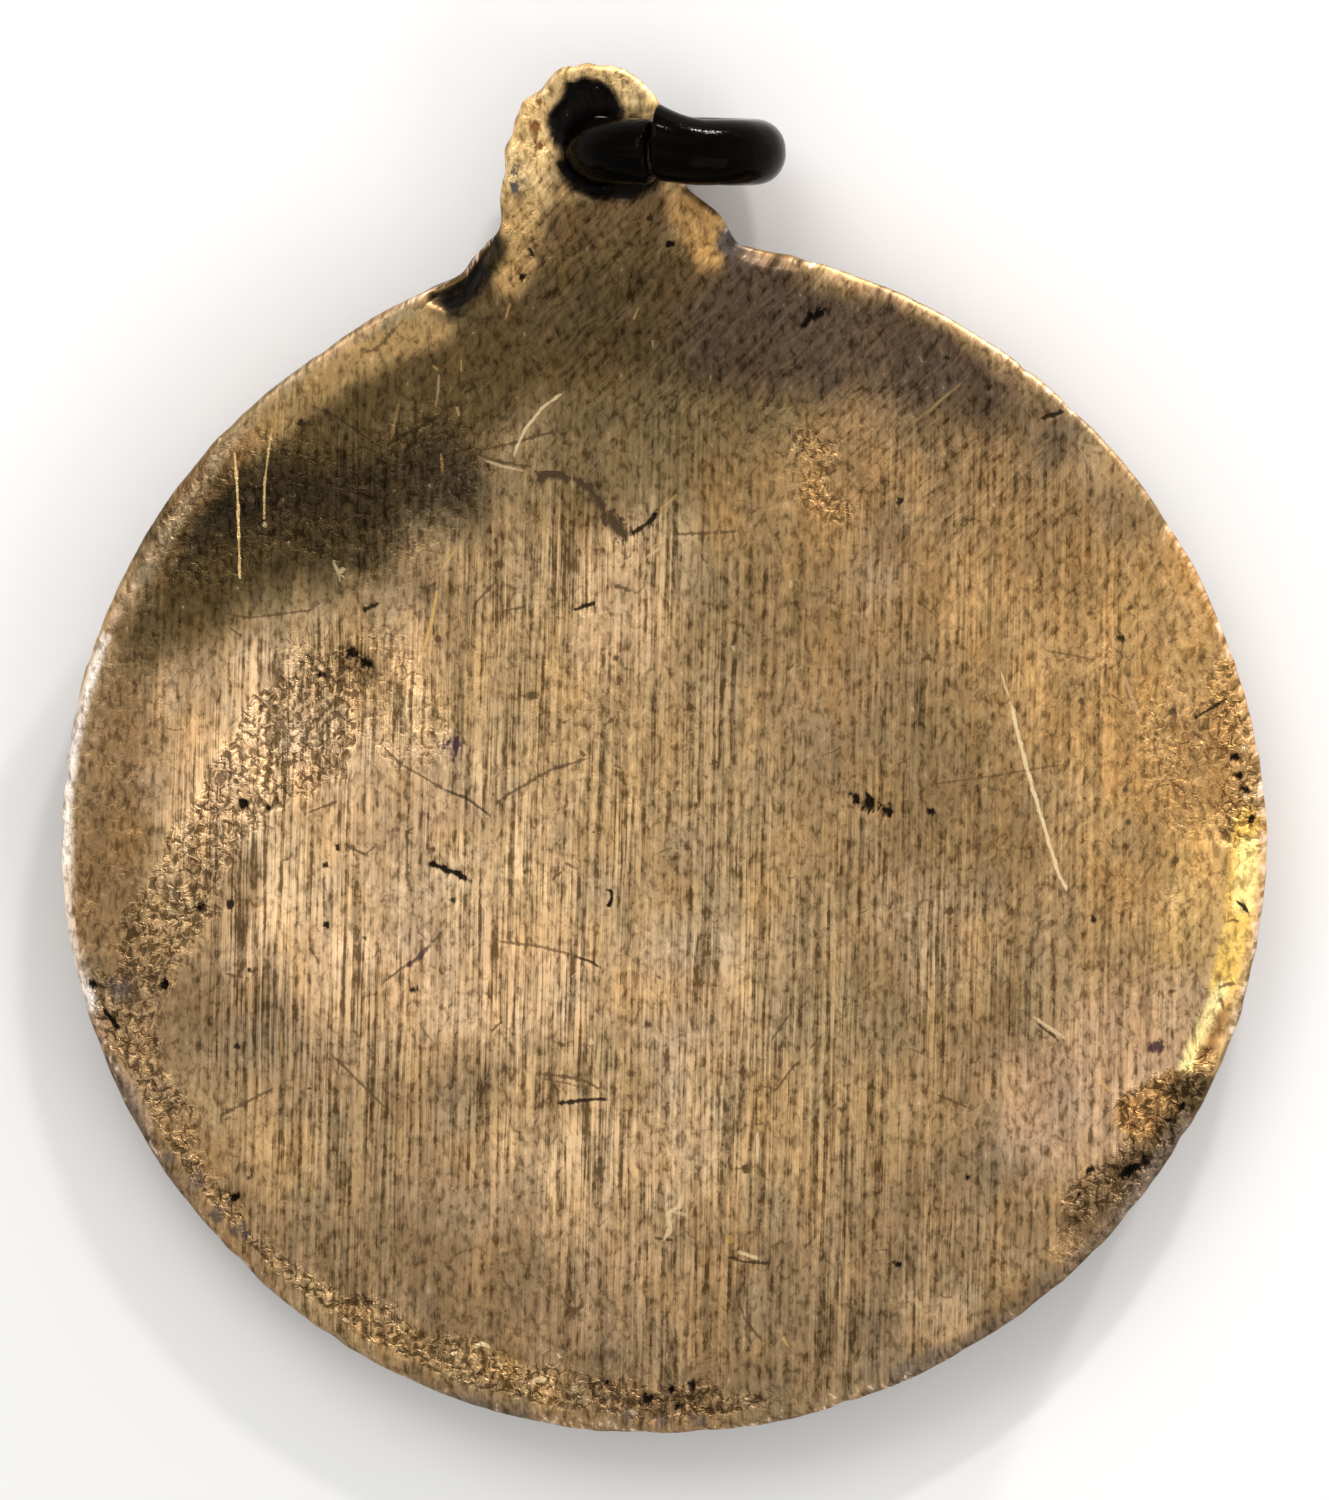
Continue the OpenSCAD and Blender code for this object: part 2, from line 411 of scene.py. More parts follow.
# broad colours of the back: tint, strength, half width, softness and middle line, in pixels
washes = [
    ("dusk", 0.7, 20, 100, [(390, 1240), (520, 1300), (600, 1330)]),
    ("dusk", 0.6, 30, 100, [(620, 1310), (800, 1290), (900, 1220), (1010, 1210)]),
    ("dun", 0.6, 60, 120, [(850, 600), (900, 740), (960, 880), (1000, 980)]),
    ("olive", 0.35, 24, 70, [(940, 720), (960, 850)]),
    ("olive", 0.3, 20, 60, [(830, 1005), (1000, 995), (1060, 960)]),
    ("olive", 0.4, 24, 60, [(730, 640), (770, 560)]),
    # pale over the left middle: partly the metal's own tone and partly a painted sheen
    ("pale", 0.85, 80, 100, [(330, 830), (330, 950)]),
    ("pale", 0.8, 20, 40, [(262, 690), (225, 750), (200, 800)]),
    ("cream", 0.2, 20, 50, [(290, 860), (310, 880)]),
    ("cream", 0.3, 16, 50, [(470, 880), (500, 870)]),
    ("pale", 0.6, 24, 60, [(680, 970), (690, 1030)]),
    ("pale", 0.5, 24, 60, [(470, 1196), (560, 1200)]),
    ("pale", 0.3, 20, 50, [(640, 1150), (690, 1130)]),
    ("pale", 0.35, 20, 50, [(616, 1260), (620, 1300)]),
    ("pale", 0.3, 16, 40, [(930, 1310), (940, 1330)]),
    ("dusk", 0.42, 24, 60, [(290, 1075), (430, 1070)]),
    ("dusk", 0.34, 24, 60, [(990, 1065), (1060, 1070)]),
    ("dusk", 0.45, 20, 44, [(850, 425), (910, 435)]),
    ("brown", 0.35, 16, 44, [(950, 480), (1060, 495), (1090, 505)]),
    ("dusk", 0.45, 14, 44, [(415, 620), (440, 625)]),
    ("brown", 0.7, 8, 30, [(172, 690), (166, 770)]),
    ("pale", 0.4, 14, 40, [(866, 550), (880, 570)]),
    ("umber", 0.45, 10, 30, [(990, 1330), (1040, 1300)]),
    # pale over the left middle: partly the metal's own tone and partly a painted sheen
    ("pale", 0.75, 30, 60, [(430, 1000), (560, 985)]),
    ("pale", 0.6, 14, 40, [(410, 640), (412, 670)]),
    ("pale", 0.6, 22, 44, [(605, 560), (625, 650)]),
    # pale over the left middle: partly the metal's own tone and partly a painted sheen
    ("pale", 0.45, 40, 80, [(500, 850), (520, 900)]),
    ("pale", 0.35, 30, 60, [(560, 1130), (680, 1130)]),
    ("pinkTan", 0.85, 44, 60, [(1060, 1110), (1130, 1045)]),
    ("dusk", 0.75, 22, 60, [(180, 1000), (250, 1030)]),
    ("brown", 0.7, 18, 34, [(154, 640), (130, 720), (116, 800), (108, 880), (112, 950)]),
    ("brown", 0.5, 10, 24, [(200, 630), (160, 690)]),
    ("dusk", 0.6, 20, 40, [(110, 1000), (150, 1100), (240, 1220), (340, 1300), (450, 1350)]),
    ("dusk", 0.7, 22, 40, [(450, 1370), (640, 1400), (780, 1390), (900, 1350)]),
    # the dark olive and soot strokes across the upper left, here and in the next nine lines, are partly
    # tarnish and partly a painted reflection of something dark above the medal
    ("darkOlive", 0.9, 34, 70, [(215, 560), (260, 490), (340, 440), (450, 380), (560, 330), (640, 320)]),
    ("earth", 0.9, 46, 60, [(560, 270), (640, 300), (700, 320)]),
    ("earth", 0.8, 40, 60, [(600, 360), (680, 370)]),
    ("olive", 0.85, 34, 60, [(600, 440), (700, 450), (770, 410)]),
    ("soot", 0.85, 14, 64, [(196, 556), (240, 536), (300, 520), (380, 500), (440, 486)]),
    ("soot", 0.9, 10, 36, [(232, 545), (300, 548), (375, 534)]),
    ("soot", 0.5, 14, 40, [(222, 500), (262, 488)]),
    ("darkOlive", 0.7, 6, 50, [(150, 640), (180, 600), (230, 570)]),
    ("darkOlive", 0.35, 8, 34, [(200, 620), (230, 590), (320, 585)]),
    ("darkOlive", 0.6, 14, 40, [(280, 556), (380, 552)]),
    ("olive", 0.5, 16, 40, [(530, 490), (590, 480)]),
    ("pale", 0.55, 20, 44, [(292, 690), (300, 750)]),
    ("pale", 0.4, 30, 60, [(925, 930), (945, 950)]),
    ("pale", 0.3, 20, 50, [(1060, 930), (1070, 950)]),
    ("straw", 0.5, 9, 24, [(1194, 985), (1182, 1020)]),
    ("dusk", 0.36, 30, 70, [(420, 1150), (480, 1270)]),
    ("pale", 0.4, 10, 30, [(236, 860), (232, 900)]),
    ("dusk", 0.3, 14, 40, [(415, 556), (432, 580)]),
    ("dusk", 0.32, 16, 44, [(420, 800), (430, 825)]),
    ("dusk", 0.5, 10, 34, [(240, 870), (225, 920)]),
    ("pale", 0.6, 12, 40, [(178, 690), (172, 770)]),
    ("plum", 0.92, 32, 50, [(740, 325), (850, 345), (950, 380)]),
    ("plum", 0.6, 12, 50, [(960, 398), (1040, 424)]),
    ("dun", 0.8, 30, 60, [(880, 500), (1000, 512), (1100, 555)]),
    ("dun", 0.6, 20, 50, [(880, 440), (980, 460)]),
    ("amber", 0.35, 26, 50, [(770, 490), (790, 520)]),
    ("amber", 0.8, 50, 80, [(1190, 620), (1160, 720), (1160, 820)]),
    ("amber", 0.5, 30, 80, [(1010, 620), (1060, 720)]),
    ("honey", 0.6, 14, 40, [(1205, 730), (1218, 810)]),
    ("gold", 0.55, 10, 44, [(1208, 850), (1196, 930)]),
    ("dun", 0.35, 20, 50, [(1130, 860), (1120, 940)]),
    ("pinkTan", 0.6, 12, 30, [(1190, 985), (1168, 1040)]),
    ("ochre", 0.85, 9, 22, [(236, 450), (296, 402), (360, 358), (440, 326)]),
    ("brown", 0.75, 6, 24, [(232, 452), (185, 515), (150, 575)]),
    ("ochre", 0.55, 4, 16, [(790, 268), (870, 292), (940, 322), (1000, 354)]),
    # a thin pale line along the outline: a painted highlight on the rounded rim
    ("pinkTan", 0.6, 1, 7, [(830, 277), (940, 320), (1030, 370), (1112, 444), (1174, 526)]),
    ("straw", 0.95, 14, 26, [(522, 100), (520, 150), (515, 205)]),
    ("straw", 0.95, 12, 18, [(560, 72), (620, 82), (648, 108)]),
    ("ochre", 0.9, 10, 20, [(510, 215), (505, 250), (515, 275)]),
    ("ochre", 0.6, 12, 24, [(560, 215), (540, 235)]),
    ("umber", 0.85, 12, 20, [(560, 232), (610, 222), (650, 214)]),
    ("amber", 0.95, 14, 24, [(692, 208), (714, 236)]),
    # the rosy, frost-white and pink-tan lines along the outline in the next six lines are painted highlights
    # where the rounded rim catches the light
    ("paintedRosyHighlight", 0.6, 1, 5, [(150, 556), (123, 602), (108, 632)]),
    ("paintedRimHighlight", 0.9, 2, 6, [(104, 640), (84, 705), (72, 755), (66, 810), (65, 860)]),
    ("paintedRimHighlight", 0.8, 2, 6, [(65, 860), (70, 920), (80, 972), (92, 1008)]),
    ("paintedRosyHighlight", 0.6, 1, 5, [(96, 1016), (112, 1056), (150, 1130)]),
    ("sage", 0.85, 4, 8, [(142, 580), (168, 532), (222, 450), (282, 386), (345, 339), (420, 307)]),
    ("pinkTan", 0.5, 1, 5, [(150, 560), (200, 480), (290, 378), (390, 312), (440, 292)]),
    # here and in the next three lines, soot, black and slate strokes darken the two low corners where the lug
    # meets the disc
    ("soot", 0.97, 12, 14, [(488, 250), (470, 285), (445, 302)]),
    ("black", 0.8, 7, 12, [(478, 275), (462, 298), (450, 308)]),
    ("ochre", 0.6, 6, 12, [(425, 312), (440, 320)]),
    ("slate", 0.95, 9, 12, [(733, 240), (748, 264)]),
    ("plum", 0.9, 9, 20, [(748, 264), (790, 282)]),
    # the right edge's rounded bevel, in the next six lines: the bright gold, gold and pale strokes are a
    # painted highlight where it catches the light
    ("brightGold", 0.95, 14, 8, [(1252, 830), (1247, 880), (1238, 940), (1226, 988)]),
    ("paintedHighlight", 0.7, 7, 9, [(1249, 852), (1243, 905)]),
    ("paintedRosyHighlight", 0.5, 1, 4, [(1262, 760), (1263, 830), (1260, 890), (1251, 950), (1237, 1000), (1214, 1056)]),
    ("gold", 0.8, 10, 9, [(1222, 1000), (1212, 1035), (1198, 1066)]),
    ("paintedHighlight", 0.95, 3.5, 6, [(1222, 985), (1213, 1003), (1203, 1025), (1192, 1050), (1182, 1076)]),
    ("rust", 0.6, 2, 6, [(1226, 1008), (1215, 1038), (1202, 1058)]),
    ("honey", 0.9, 20, 14, [(1140, 1118), (1170, 1098)]),
    ("umber", 0.7, 7, 12, [(1196, 1084), (1190, 1104), (1168, 1130)]),
    ("earth", 0.85, 6, 8, [(1176, 1090), (1204, 1082), (1192, 1104)]),
    ("umber", 0.6, 14, 16, [(1085, 1215), (1110, 1190), (1150, 1160)]),
    ("umber", 0.55, 5, 14, [(344, 655), (364, 674)]),
    ("umber", 0.5, 7, 14, [(640, 1398), (708, 1400)]),
    ("umber", 0.6, 4, 14, [(1116, 1178), (1152, 1162)]),
    ("ochre", 0.45, 8, 20, [(300, 1292), (380, 1335), (470, 1362), (560, 1382)]),
    ("stone", 0.85, 5, 10, [(104, 1062), (150, 1160), (222, 1262), (302, 1335), (400, 1393), (520, 1422)]),
    ("stone", 0.8, 5, 14, [(1188, 1120), (1110, 1238), (1010, 1322), (900, 1384)]),
]
# where the rim shows bare metal, and thin painted highlights along its rounded edge: strength, half width,
# softness, line
rimWearAndHighlights = [
    (0.95, 3, 7, [
        (140, 585), (113, 645), (90, 705), (77, 780), (71, 860), (80, 950), (110, 1050), (160, 1150),
    ]),
    (0.25, 12, 20, [(150, 540), (200, 470), (250, 410), (400, 310), (440, 290), (492, 238)]),
    (0.8, 1, 7, [(398, 309), (430, 291), (464, 272), (492, 236)]),
    (0.45, 12, 20, [(500, 210), (512, 110), (550, 72), (600, 60), (650, 92), (668, 120)]),
    (0.3, 12, 20, [(690, 190), (728, 225), (760, 252), (860, 280)]),
    (0.25, 12, 20, [(860, 280), (1020, 362), (1110, 450), (1170, 540)]),
    (0.6, 12, 20, [(1170, 540), (1215, 640), (1245, 740)]),
    (0.8, 5, 8, [(1262, 740), (1264, 850), (1252, 940), (1228, 1030)]),
    (0.5, 12, 20, [(560, 1428), (660, 1434), (800, 1424), (920, 1385)]),
    (0.2, 12, 20, [(130, 1110), (250, 1280), (420, 1390), (560, 1428)]),
    (0.2, 12, 20, [(920, 1385), (1080, 1280), (1180, 1140)]),
]
# how strongly the upright brushing and the slanted brushing show: strength, half width, softness, line
uprightBrush = [
    (1.0, 130, 110, [(350, 800), (390, 1040)]),
    (1.0, 150, 120, [(600, 700), (630, 1040)]),
    (0.8, 90, 120, [(830, 900), (850, 1080)]),
    (0.68, 130, 100, [(400, 1190), (640, 1260), (850, 1220)]),
    (0.55, 100, 120, [(960, 560), (1050, 1150)]),
    (0.3, 40, 80, [(190, 780), (200, 620)]),
    (0.45, 60, 90, [(330, 500), (640, 500)]),
]
slantedBrush = [
    (1.0, 60, 70, [(590, 230), (640, 330), (760, 350)]),
    (0.9, 60, 80, [(760, 330), (900, 400), (980, 470)]),
    (0.5, 60, 80, [(470, 370), (560, 400)]),
    (0.45, 80, 120, [(1060, 620), (1090, 860)]),
]
# single scratches: tint, half width in pixels, depth in millimetres, and the line in pixels
cuts = [
    ("soot", 1.3, 0.01, [(399, 439), (425, 426), (445, 413)]),
    ("soot", 1.0, 0.0, [(310, 405), (335, 416), (386, 451)]),
    ("earth", 1.6, 0.01, [(452, 455), (480, 451), (518, 442), (556, 431)]),
    ("earth", 1.6, 0.01, [(470, 452), (495, 461), (533, 468)]),
    ("cream", 1.2, 0.0, [(482, 459), (500, 466), (524, 471)]),
    ("soot", 1.5, 0.01, [(464, 394), (474, 387)]),
    ("umber", 1.6, 0.01, [(668, 535), (742, 531)]),
    ("umber", 1.6, 0.01, [(473, 606), (492, 586), (500, 578)]),
    ("umber", 1.4, 0.01, [(504, 611), (528, 606)]),
    ("soot", 1.7, 0.02, [(571, 612), (582, 607), (598, 602)]),
    ("umber", 1.6, 0.01, [(610, 588), (620, 586), (632, 593)]),
    ("umber", 1.4, 0.01, [(490, 630), (502, 632)]),
    ("umber", 1.4, 0.01, [(379, 742), (400, 764), (420, 775), (445, 790)]),
    ("soot", 1.7, 0.01, [(440, 788), (468, 799), (492, 817)]),
    ("black", 2.6, 0.04, [(427, 862), (455, 873), (474, 884)]),
    ("umber", 1.7, 0.01, [(343, 843), (371, 858)]),
    ("umber", 1.3, 0.01, [(302, 815), (338, 801)]),
    ("umber", 1.5, 0.01, [(407, 888), (407, 831), (420, 825)]),
    ("umber", 1.2, 0.01, [(324, 870), (324, 923)]),
    ("umber", 1.5, 0.01, [(383, 983), (402, 968), (417, 959)]),
    ("violet", 2.3, 0.01, [(408, 966), (420, 956), (434, 942)]),
    ("umber", 1.2, 0.01, [(428, 948), (445, 928)]),
    ("umber", 1.4, 0.01, [(218, 1117), (272, 1089)]),
    ("umber", 1.4, 0.01, [(330, 1053), (389, 1112)]),
    ("umber", 1.7, 0.01, [(223, 973), (249, 979)]),
    ("soot", 1.5, 0.01, [(305, 1089), (325, 1088)]),
    ("umber", 1.4, 0.01, [(494, 805), (509, 794), (552, 769), (593, 757)]),
    ("soot", 2.2, 0.02, [(590, 806), (602, 811)]),
    ("soot", 1.8, 0.01, [(588, 833), (599, 829)]),
    ("umber", 1.7, 0.01, [(562, 861), (579, 870)]),
    ("umber", 1.5, 0.01, [(550, 881), (564, 870)]),
    ("umber", 1.8, 0.01, [(602, 727), (614, 718)]),
    ("umber", 1.6, 0.01, [(562, 724), (570, 719)]),
    ("umber", 1.8, 0.01, [(729, 620), (744, 628)]),
    ("umber", 1.8, 0.01, [(786, 672), (796, 662)]),
    ("umber", 1.6, 0.01, [(612, 764), (624, 770)]),
    ("umber", 1.6, 0.01, [(578, 751), (588, 757)]),
    ("soot", 1.5, 0.01, [(396, 438), (424, 425), (443, 412)]),
    ("black", 2.0, 0.02, [(603, 889), (612, 891), (612, 899), (607, 909)]),
    ("brown", 1.6, 0.01, [(494, 941), (537, 946), (573, 955), (592, 963), (606, 971)]),
    ("soot", 1.2, 0.01, [(572, 956), (590, 961), (604, 970)]),
    ("umber", 1.8, 0.01, [(656, 974), (664, 982)]),
    ("umber", 1.5, 0.01, [(536, 1073), (560, 1076), (585, 1081), (602, 1090)]),
    ("umber", 1.2, 0.0, [(540, 1079), (565, 1083), (590, 1090)]),
    ("soot", 2.2, 0.02, [(556, 1104), (575, 1101), (600, 1099), (614, 1101)]),
    ("umber", 1.5, 0.01, [(551, 1041), (566, 1046)]),
    ("umber", 1.4, 0.01, [(491, 1032), (504, 1019)]),
    ("umber", 1.4, 0.01, [(792, 1011), (769, 1044)]),
    ("umber", 1.3, 0.01, [(825, 1032), (789, 1072), (773, 1095)]),
    ("umber", 1.2, 0.0, [(925, 785), (994, 776), (1062, 764)]),
    ("umber", 1.3, 0.01, [(218, 612), (249, 618), (312, 610)]),
    ("umber", 1.2, 0.01, [(226, 625), (244, 638)]),
    ("soot", 2.4, 0.02, [(361, 612), (379, 603)]),
    ("umber", 1.6, 0.01, [(364, 355), (379, 347), (400, 323)]),
    ("umber", 1.5, 0.01, [(924, 336), (936, 332)]),
    ("soot", 2.2, 0.03, [(1036, 420), (1052, 415), (1070, 410)]),
    ("soot", 1.5, 0.02, [(1234, 899), (1243, 906), (1251, 916)]),
    ("umber", 1.2, 0.01, [(1225, 923), (1232, 920), (1241, 922)]),
    ("umber", 1.5, 0.01, [(1218, 988), (1230, 984), (1239, 985)]),
    ("soot", 1.8, 0.02, [(1194, 719), (1229, 697)]),
    ("brown", 1.2, 0.01, [(1044, 650), (1096, 660)]),
    ("black", 2.4, 0.03, [(101, 1005), (112, 1020), (124, 1034)]),
    ("soot", 2.6, 0.02, [(895, 505), (906, 497)]),
    ("black", 2.6, 0.02, [(664, 245), (677, 245)]),
    ("soot", 2.0, 0.02, [(528, 246), (534, 258)]),
    ("umber", 1.5, 0.01, [(1084, 614), (1096, 613)]),
    ("soot", 2.2, 0.02, [(627, 537), (642, 527), (657, 516)]),
    ("umber", 1.4, 0.01, [(1220, 996), (1224, 1012)]),
    ("umber", 1.3, 0.01, [(1195, 1013), (1200, 1018)]),
    ("umber", 1.3, 0.01, [(735, 1290), (745, 1320), (765, 1345)]),
    ("soot", 1.5, 0.01, [(725, 1256), (742, 1262), (770, 1264)]),
    ("soot", 1.7, 0.01, [(652, 1238), (676, 1241)]),
    ("umber", 1.4, 0.01, [(930, 1092), (960, 1104), (972, 1110)]),
    ("straw", 1.2, 0.02, [(235, 451), (238, 500), (240, 579)]),
    ("straw", 1.1, 0.01, [(273, 426), (269, 449), (265, 482), (264, 520)]),
    ("gold", 1.2, 0.01, [(458, 546), (447, 562), (441, 572)]),
    ("gold", 1.5, 0.02, [(438, 588), (432, 620), (422, 656)]),
    ("amber", 1.3, 0.0, [(440, 441), (443, 477)]),
    ("cream", 1.4, 0.01, [(565, 392), (543, 407), (525, 430), (518, 445), (514, 458)]),
    ("cream", 1.7, 0.0, [(332, 559), (339, 574), (346, 567)]),
    ("gold", 1.2, 0.0, [(712, 499), (712, 555)]),
    ("gold", 1.1, 0.0, [(719, 530), (720, 573)]),
    ("pale", 1.2, 0.0, [(675, 542), (677, 593)]),
    ("cream", 1.4, 0.0, [(645, 559), (661, 547)]),
    ("cream", 2.6, 0.01, [(591, 1037), (592, 1048)]),
    ("cream", 1.8, 0.0, [(791, 578), (790, 590)]),
    ("cream", 1.6, 0.0, [(732, 641), (735, 653)]),
    ("ochre", 5.0, 0.0, [(986, 600), (996, 640), (1004, 676)]),
    ("cream", 1.0, 0.01, [(1000, 668), (1005, 686), (1010, 700)]),
    ("cream", 1.7, 0.02, [(1010, 700), (1018, 735), (1029, 776), (1043, 823), (1059, 875), (1068, 891)]),
    ("pale", 1.6, 0.01, [(1124, 675), (1132, 698), (1140, 719)]),
    ("cream", 1.5, 0.01, [(1032, 1016), (1068, 1040)]),
    ("soot", 1.2, 0.01, [(1034, 1021), (1062, 1043)]),
    ("pale", 1.0, 0.0, [(870, 528), (872, 630)]),
    ("ochre", 1.1, 0.0, [(976, 552), (978, 635)]),
    ("ochre", 1.3, 0.0, [(910, 426), (964, 381)]),
    ("ochre", 1.3, 0.0, [(953, 488), (969, 472)]),
    ("ochre", 1.3, 0.0, [(993, 488), (1006, 466)]),
    ("ochre", 1.2, 0.0, [(1017, 469), (1047, 445)]),
    ("ochre", 1.4, 0.0, [(400, 398), (391, 441)]),
    ("cream", 2.0, 0.01, [(661, 1243), (671, 1230), (668, 1214), (680, 1206), (683, 1190)]),
    ("cream", 1.5, 0.0, [(672, 1212), (690, 1216)]),
    ("umber", 1.6, 0.01, [(558, 1291), (570, 1311), (584, 1306), (580, 1294)]),
    ("gold", 1.4, 0.01, [(765, 1310), (778, 1330), (790, 1350)]),
    ("pale", 1.4, 0.0, [(405, 1170), (410, 1230)]),
    ("ochre", 1.3, 0.0, [(969, 342), (960, 352)]),
    ("ochre", 1.2, 0.0, [(952, 389), (921, 420)]),
    ("gold", 1.3, 0.0, [(678, 494), (658, 512)]),
    ("cream", 1.6, 0.01, [(757, 1130), (758, 1165)]),
    ("cream", 1.8, 0.01, [(736, 1252), (760, 1259)]),
    ("pale", 1.5, 0.01, [(1075, 1119), (1082, 1140), (1088, 1156)]),
    ("gold", 1.4, 0.01, [(1095, 1077), (1116, 1096)]),
    ("cream", 1.2, 0.01, [(827, 1393), (842, 1403)]),
    ("gold", 1.3, 0.0, [(505, 322), (511, 300)]),
    ("gold", 1.3, 0.0, [(632, 322), (640, 305)]),
    ("gold", 1.4, 0.0, [(433, 366), (440, 372)]),
    ("drab", 7.0, 0.02, [(534, 473), (556, 473), (576, 477)]),
    ("drab", 4.4, 0.02, [(564, 475), (583, 483), (597, 498), (613, 522)]),
    ("drab", 7.5, 0.02, [(603, 509), (617, 527), (630, 543)]),
    ("black", 4.0, 0.03, [(1114, 1177), (1130, 1170), (1146, 1162)]),
    ("cream", 1.6, 0.01, [(306, 1294), (314, 1300)]),
    ("cream", 1.6, 0.01, [(340, 1317), (350, 1324)]),
    ("cream", 1.8, 0.01, [(450, 1356), (458, 1352)]),
    ("cream", 1.8, 0.01, [(472, 1349), (482, 1344), (490, 1348)]),
    ("cream", 1.8, 0.01, [(498, 1362), (502, 1370)]),
    ("cream", 1.8, 0.01, [(530, 1386), (540, 1378), (548, 1382)]),
    ("cream", 1.6, 0.01, [(556, 1352), (562, 1362)]),
    ("black", 3.4, 0.03, [(802, 331), (807, 320), (814, 313)]),
    ("black", 4.2, 0.03, [(809, 321), (818, 315), (827, 311)]),
]
# spots and pits: tint, x, y, radius and depth, the last in millimetres and the rest in pixels
spots = [
    ("violet", 455, 748, 9, 0.03), ("violet", 1157, 1047, 6, 0.012), ("black", 856, 797, 5, 0.05),
    ("black", 870, 804, 9, 0.08), ("black", 887, 810, 6, 0.06), ("black", 930, 811, 4, 0.03),
    ("soot", 945, 358, 3.2, 0.02), ("soot", 990, 387, 3.2, 0.02), ("soot", 1120, 638, 4.2, 0.06),
    ("umber", 1130, 608, 2.4, 0.02), ("umber", 927, 658, 3.5, 0.02), ("umber", 834, 603, 2.4, 0.02),
    ("soot", 1094, 920, 3.5, 0.03), ("umber", 950, 911, 3.2, 0.02), ("umber", 1128, 822, 3.2, 0.02),
    ("umber", 1176, 861, 3.2, 0.02), ("umber", 1173, 712, 3.2, 0.02), ("umber", 1125, 790, 3.5, 0.02),
    ("umber", 1081, 701, 3.2, 0.02), ("black", 269, 808, 3.5, 0.04), ("black", 244, 803, 4.2, 0.04),
    ("soot", 230, 905, 3.8, 0.05), ("black", 200, 908, 4.9, 0.05), ("black", 325, 925, 3.2, 0.04),
    ("soot", 364, 938, 2.8, 0.03), ("soot", 325, 865, 3.2, 0.02), ("soot", 338, 848, 2.4, 0.02),
    ("soot", 249, 970, 2.8, 0.02), ("soot", 236, 1047, 3.2, 0.03), ("soot", 413, 990, 3.6, 0.03),
    ("soot", 453, 900, 3.2, 0.02), ("umber", 434, 849, 3.2, 0.02), ("umber", 525, 872, 2.4, 0.02),
    ("umber", 696, 805, 3.2, 0.02), ("umber", 687, 848, 3.2, 0.02), ("umber", 649, 1025, 3.2, 0.02),
    ("umber", 677, 783, 2.4, 0.02), ("umber", 714, 762, 2.4, 0.02), ("soot", 301, 422, 3.5, 0.02),
    ("umber", 415, 363, 3.2, 0.02), ("umber", 437, 639, 3.2, 0.02), ("umber", 616, 658, 3.5, 0.02),
    ("umber", 531, 696, 5, 0.03), ("umber", 496, 541, 3.2, 0.02), ("umber", 500, 565, 3.2, 0.02),
    ("soot", 249, 1178, 3.2, 0.02), ("black", 236, 1197, 3.5, 0.04), ("black", 898, 1265, 3.6, 0.04),
    ("black", 523, 277, 3.6, 0.04), ("soot", 649, 219, 3.2, 0.03), ("umber", 627, 234, 3.2, 0.02),
    ("black", 654, 517, 3.5, 0.03), ("umber", 745, 1170, 3.5, 0.02), ("umber", 600, 1160, 4.2, 0.02),
    ("black", 968, 1178, 3.2, 0.02), ("umber", 842, 1110, 3.2, 0.02), ("black", 353, 654, 5.6, 0.06),
    ("black", 366, 664, 4.9, 0.06), ("black", 320, 675, 4.2, 0.05), ("black", 164, 984, 4.9, 0.05),
    ("black", 93, 984, 4.9, 0.05), ("slate", 120, 990, 10, 0), ("black", 646, 1400, 5.6, 0.05),
    ("black", 690, 1385, 4.2, 0.05), ("black", 672, 1390, 3.5, 0.04), ("black", 678, 1407, 3.5, 0.04),
    ("black", 608, 1383, 3.5, 0.04), ("slate", 629, 1416, 6, 0), ("slate", 661, 1423, 6, 0),
    ("slate", 698, 1423, 8, 0), ("slate", 169, 1156, 7, 0), ("slate", 194, 1182, 8, 0),
    ("slate", 217, 1213, 8, 0), ("slate", 241, 1230, 8, 0), ("black", 1182, 1107, 3.5, 0.04),
    ("black", 1171, 1120, 3.5, 0.04), ("black", 1128, 1172, 6.3, 0.05), ("black", 1145, 1162, 5.6, 0.05),
    ("black", 1090, 1170, 3.6, 0.03), ("black", 1079, 1195, 3.2, 0.03), ("black", 1236, 758, 4.2, 0.05),
    ("black", 1246, 790, 4.9, 0.05), ("black", 1240, 775, 4.2, 0.05), ("black", 1252, 818, 4.2, 0.04),
    ("rust", 539, 103, 3.8, 0.03), ("rust", 535, 125, 4.5, 0.04), ("rust", 541, 146, 5.2, 0.05),
    ("slate", 511, 172, 6, 0.03), ("slate", 514, 186, 6, 0.02), ("cream", 265, 525, 2.5, 0),
    ("cream", 619, 867, 2.1, 0), ("cream", 828, 885, 2.8, 0), ("cream", 907, 915, 3.1, 0),
    ("cream", 961, 986, 2.4, 0),
    ("cream", 1244, 747, 3.5, 0), ("cream", 1246, 797, 3.5, 0), ("cream", 310, 1168, 4.2, 0),
    ("cream", 575, 1391, 3.5, 0), ("cream", 586, 1401, 3.5, 0), ("cream", 632, 1413, 3.5, 0),
    ("cream", 1078, 1202, 2.4, 0), ("cream", 672, 1222, 2.8, 0), ("brightGold", 730, 1240, 3.5, 0),
]


# Outline, height and finish of the medal

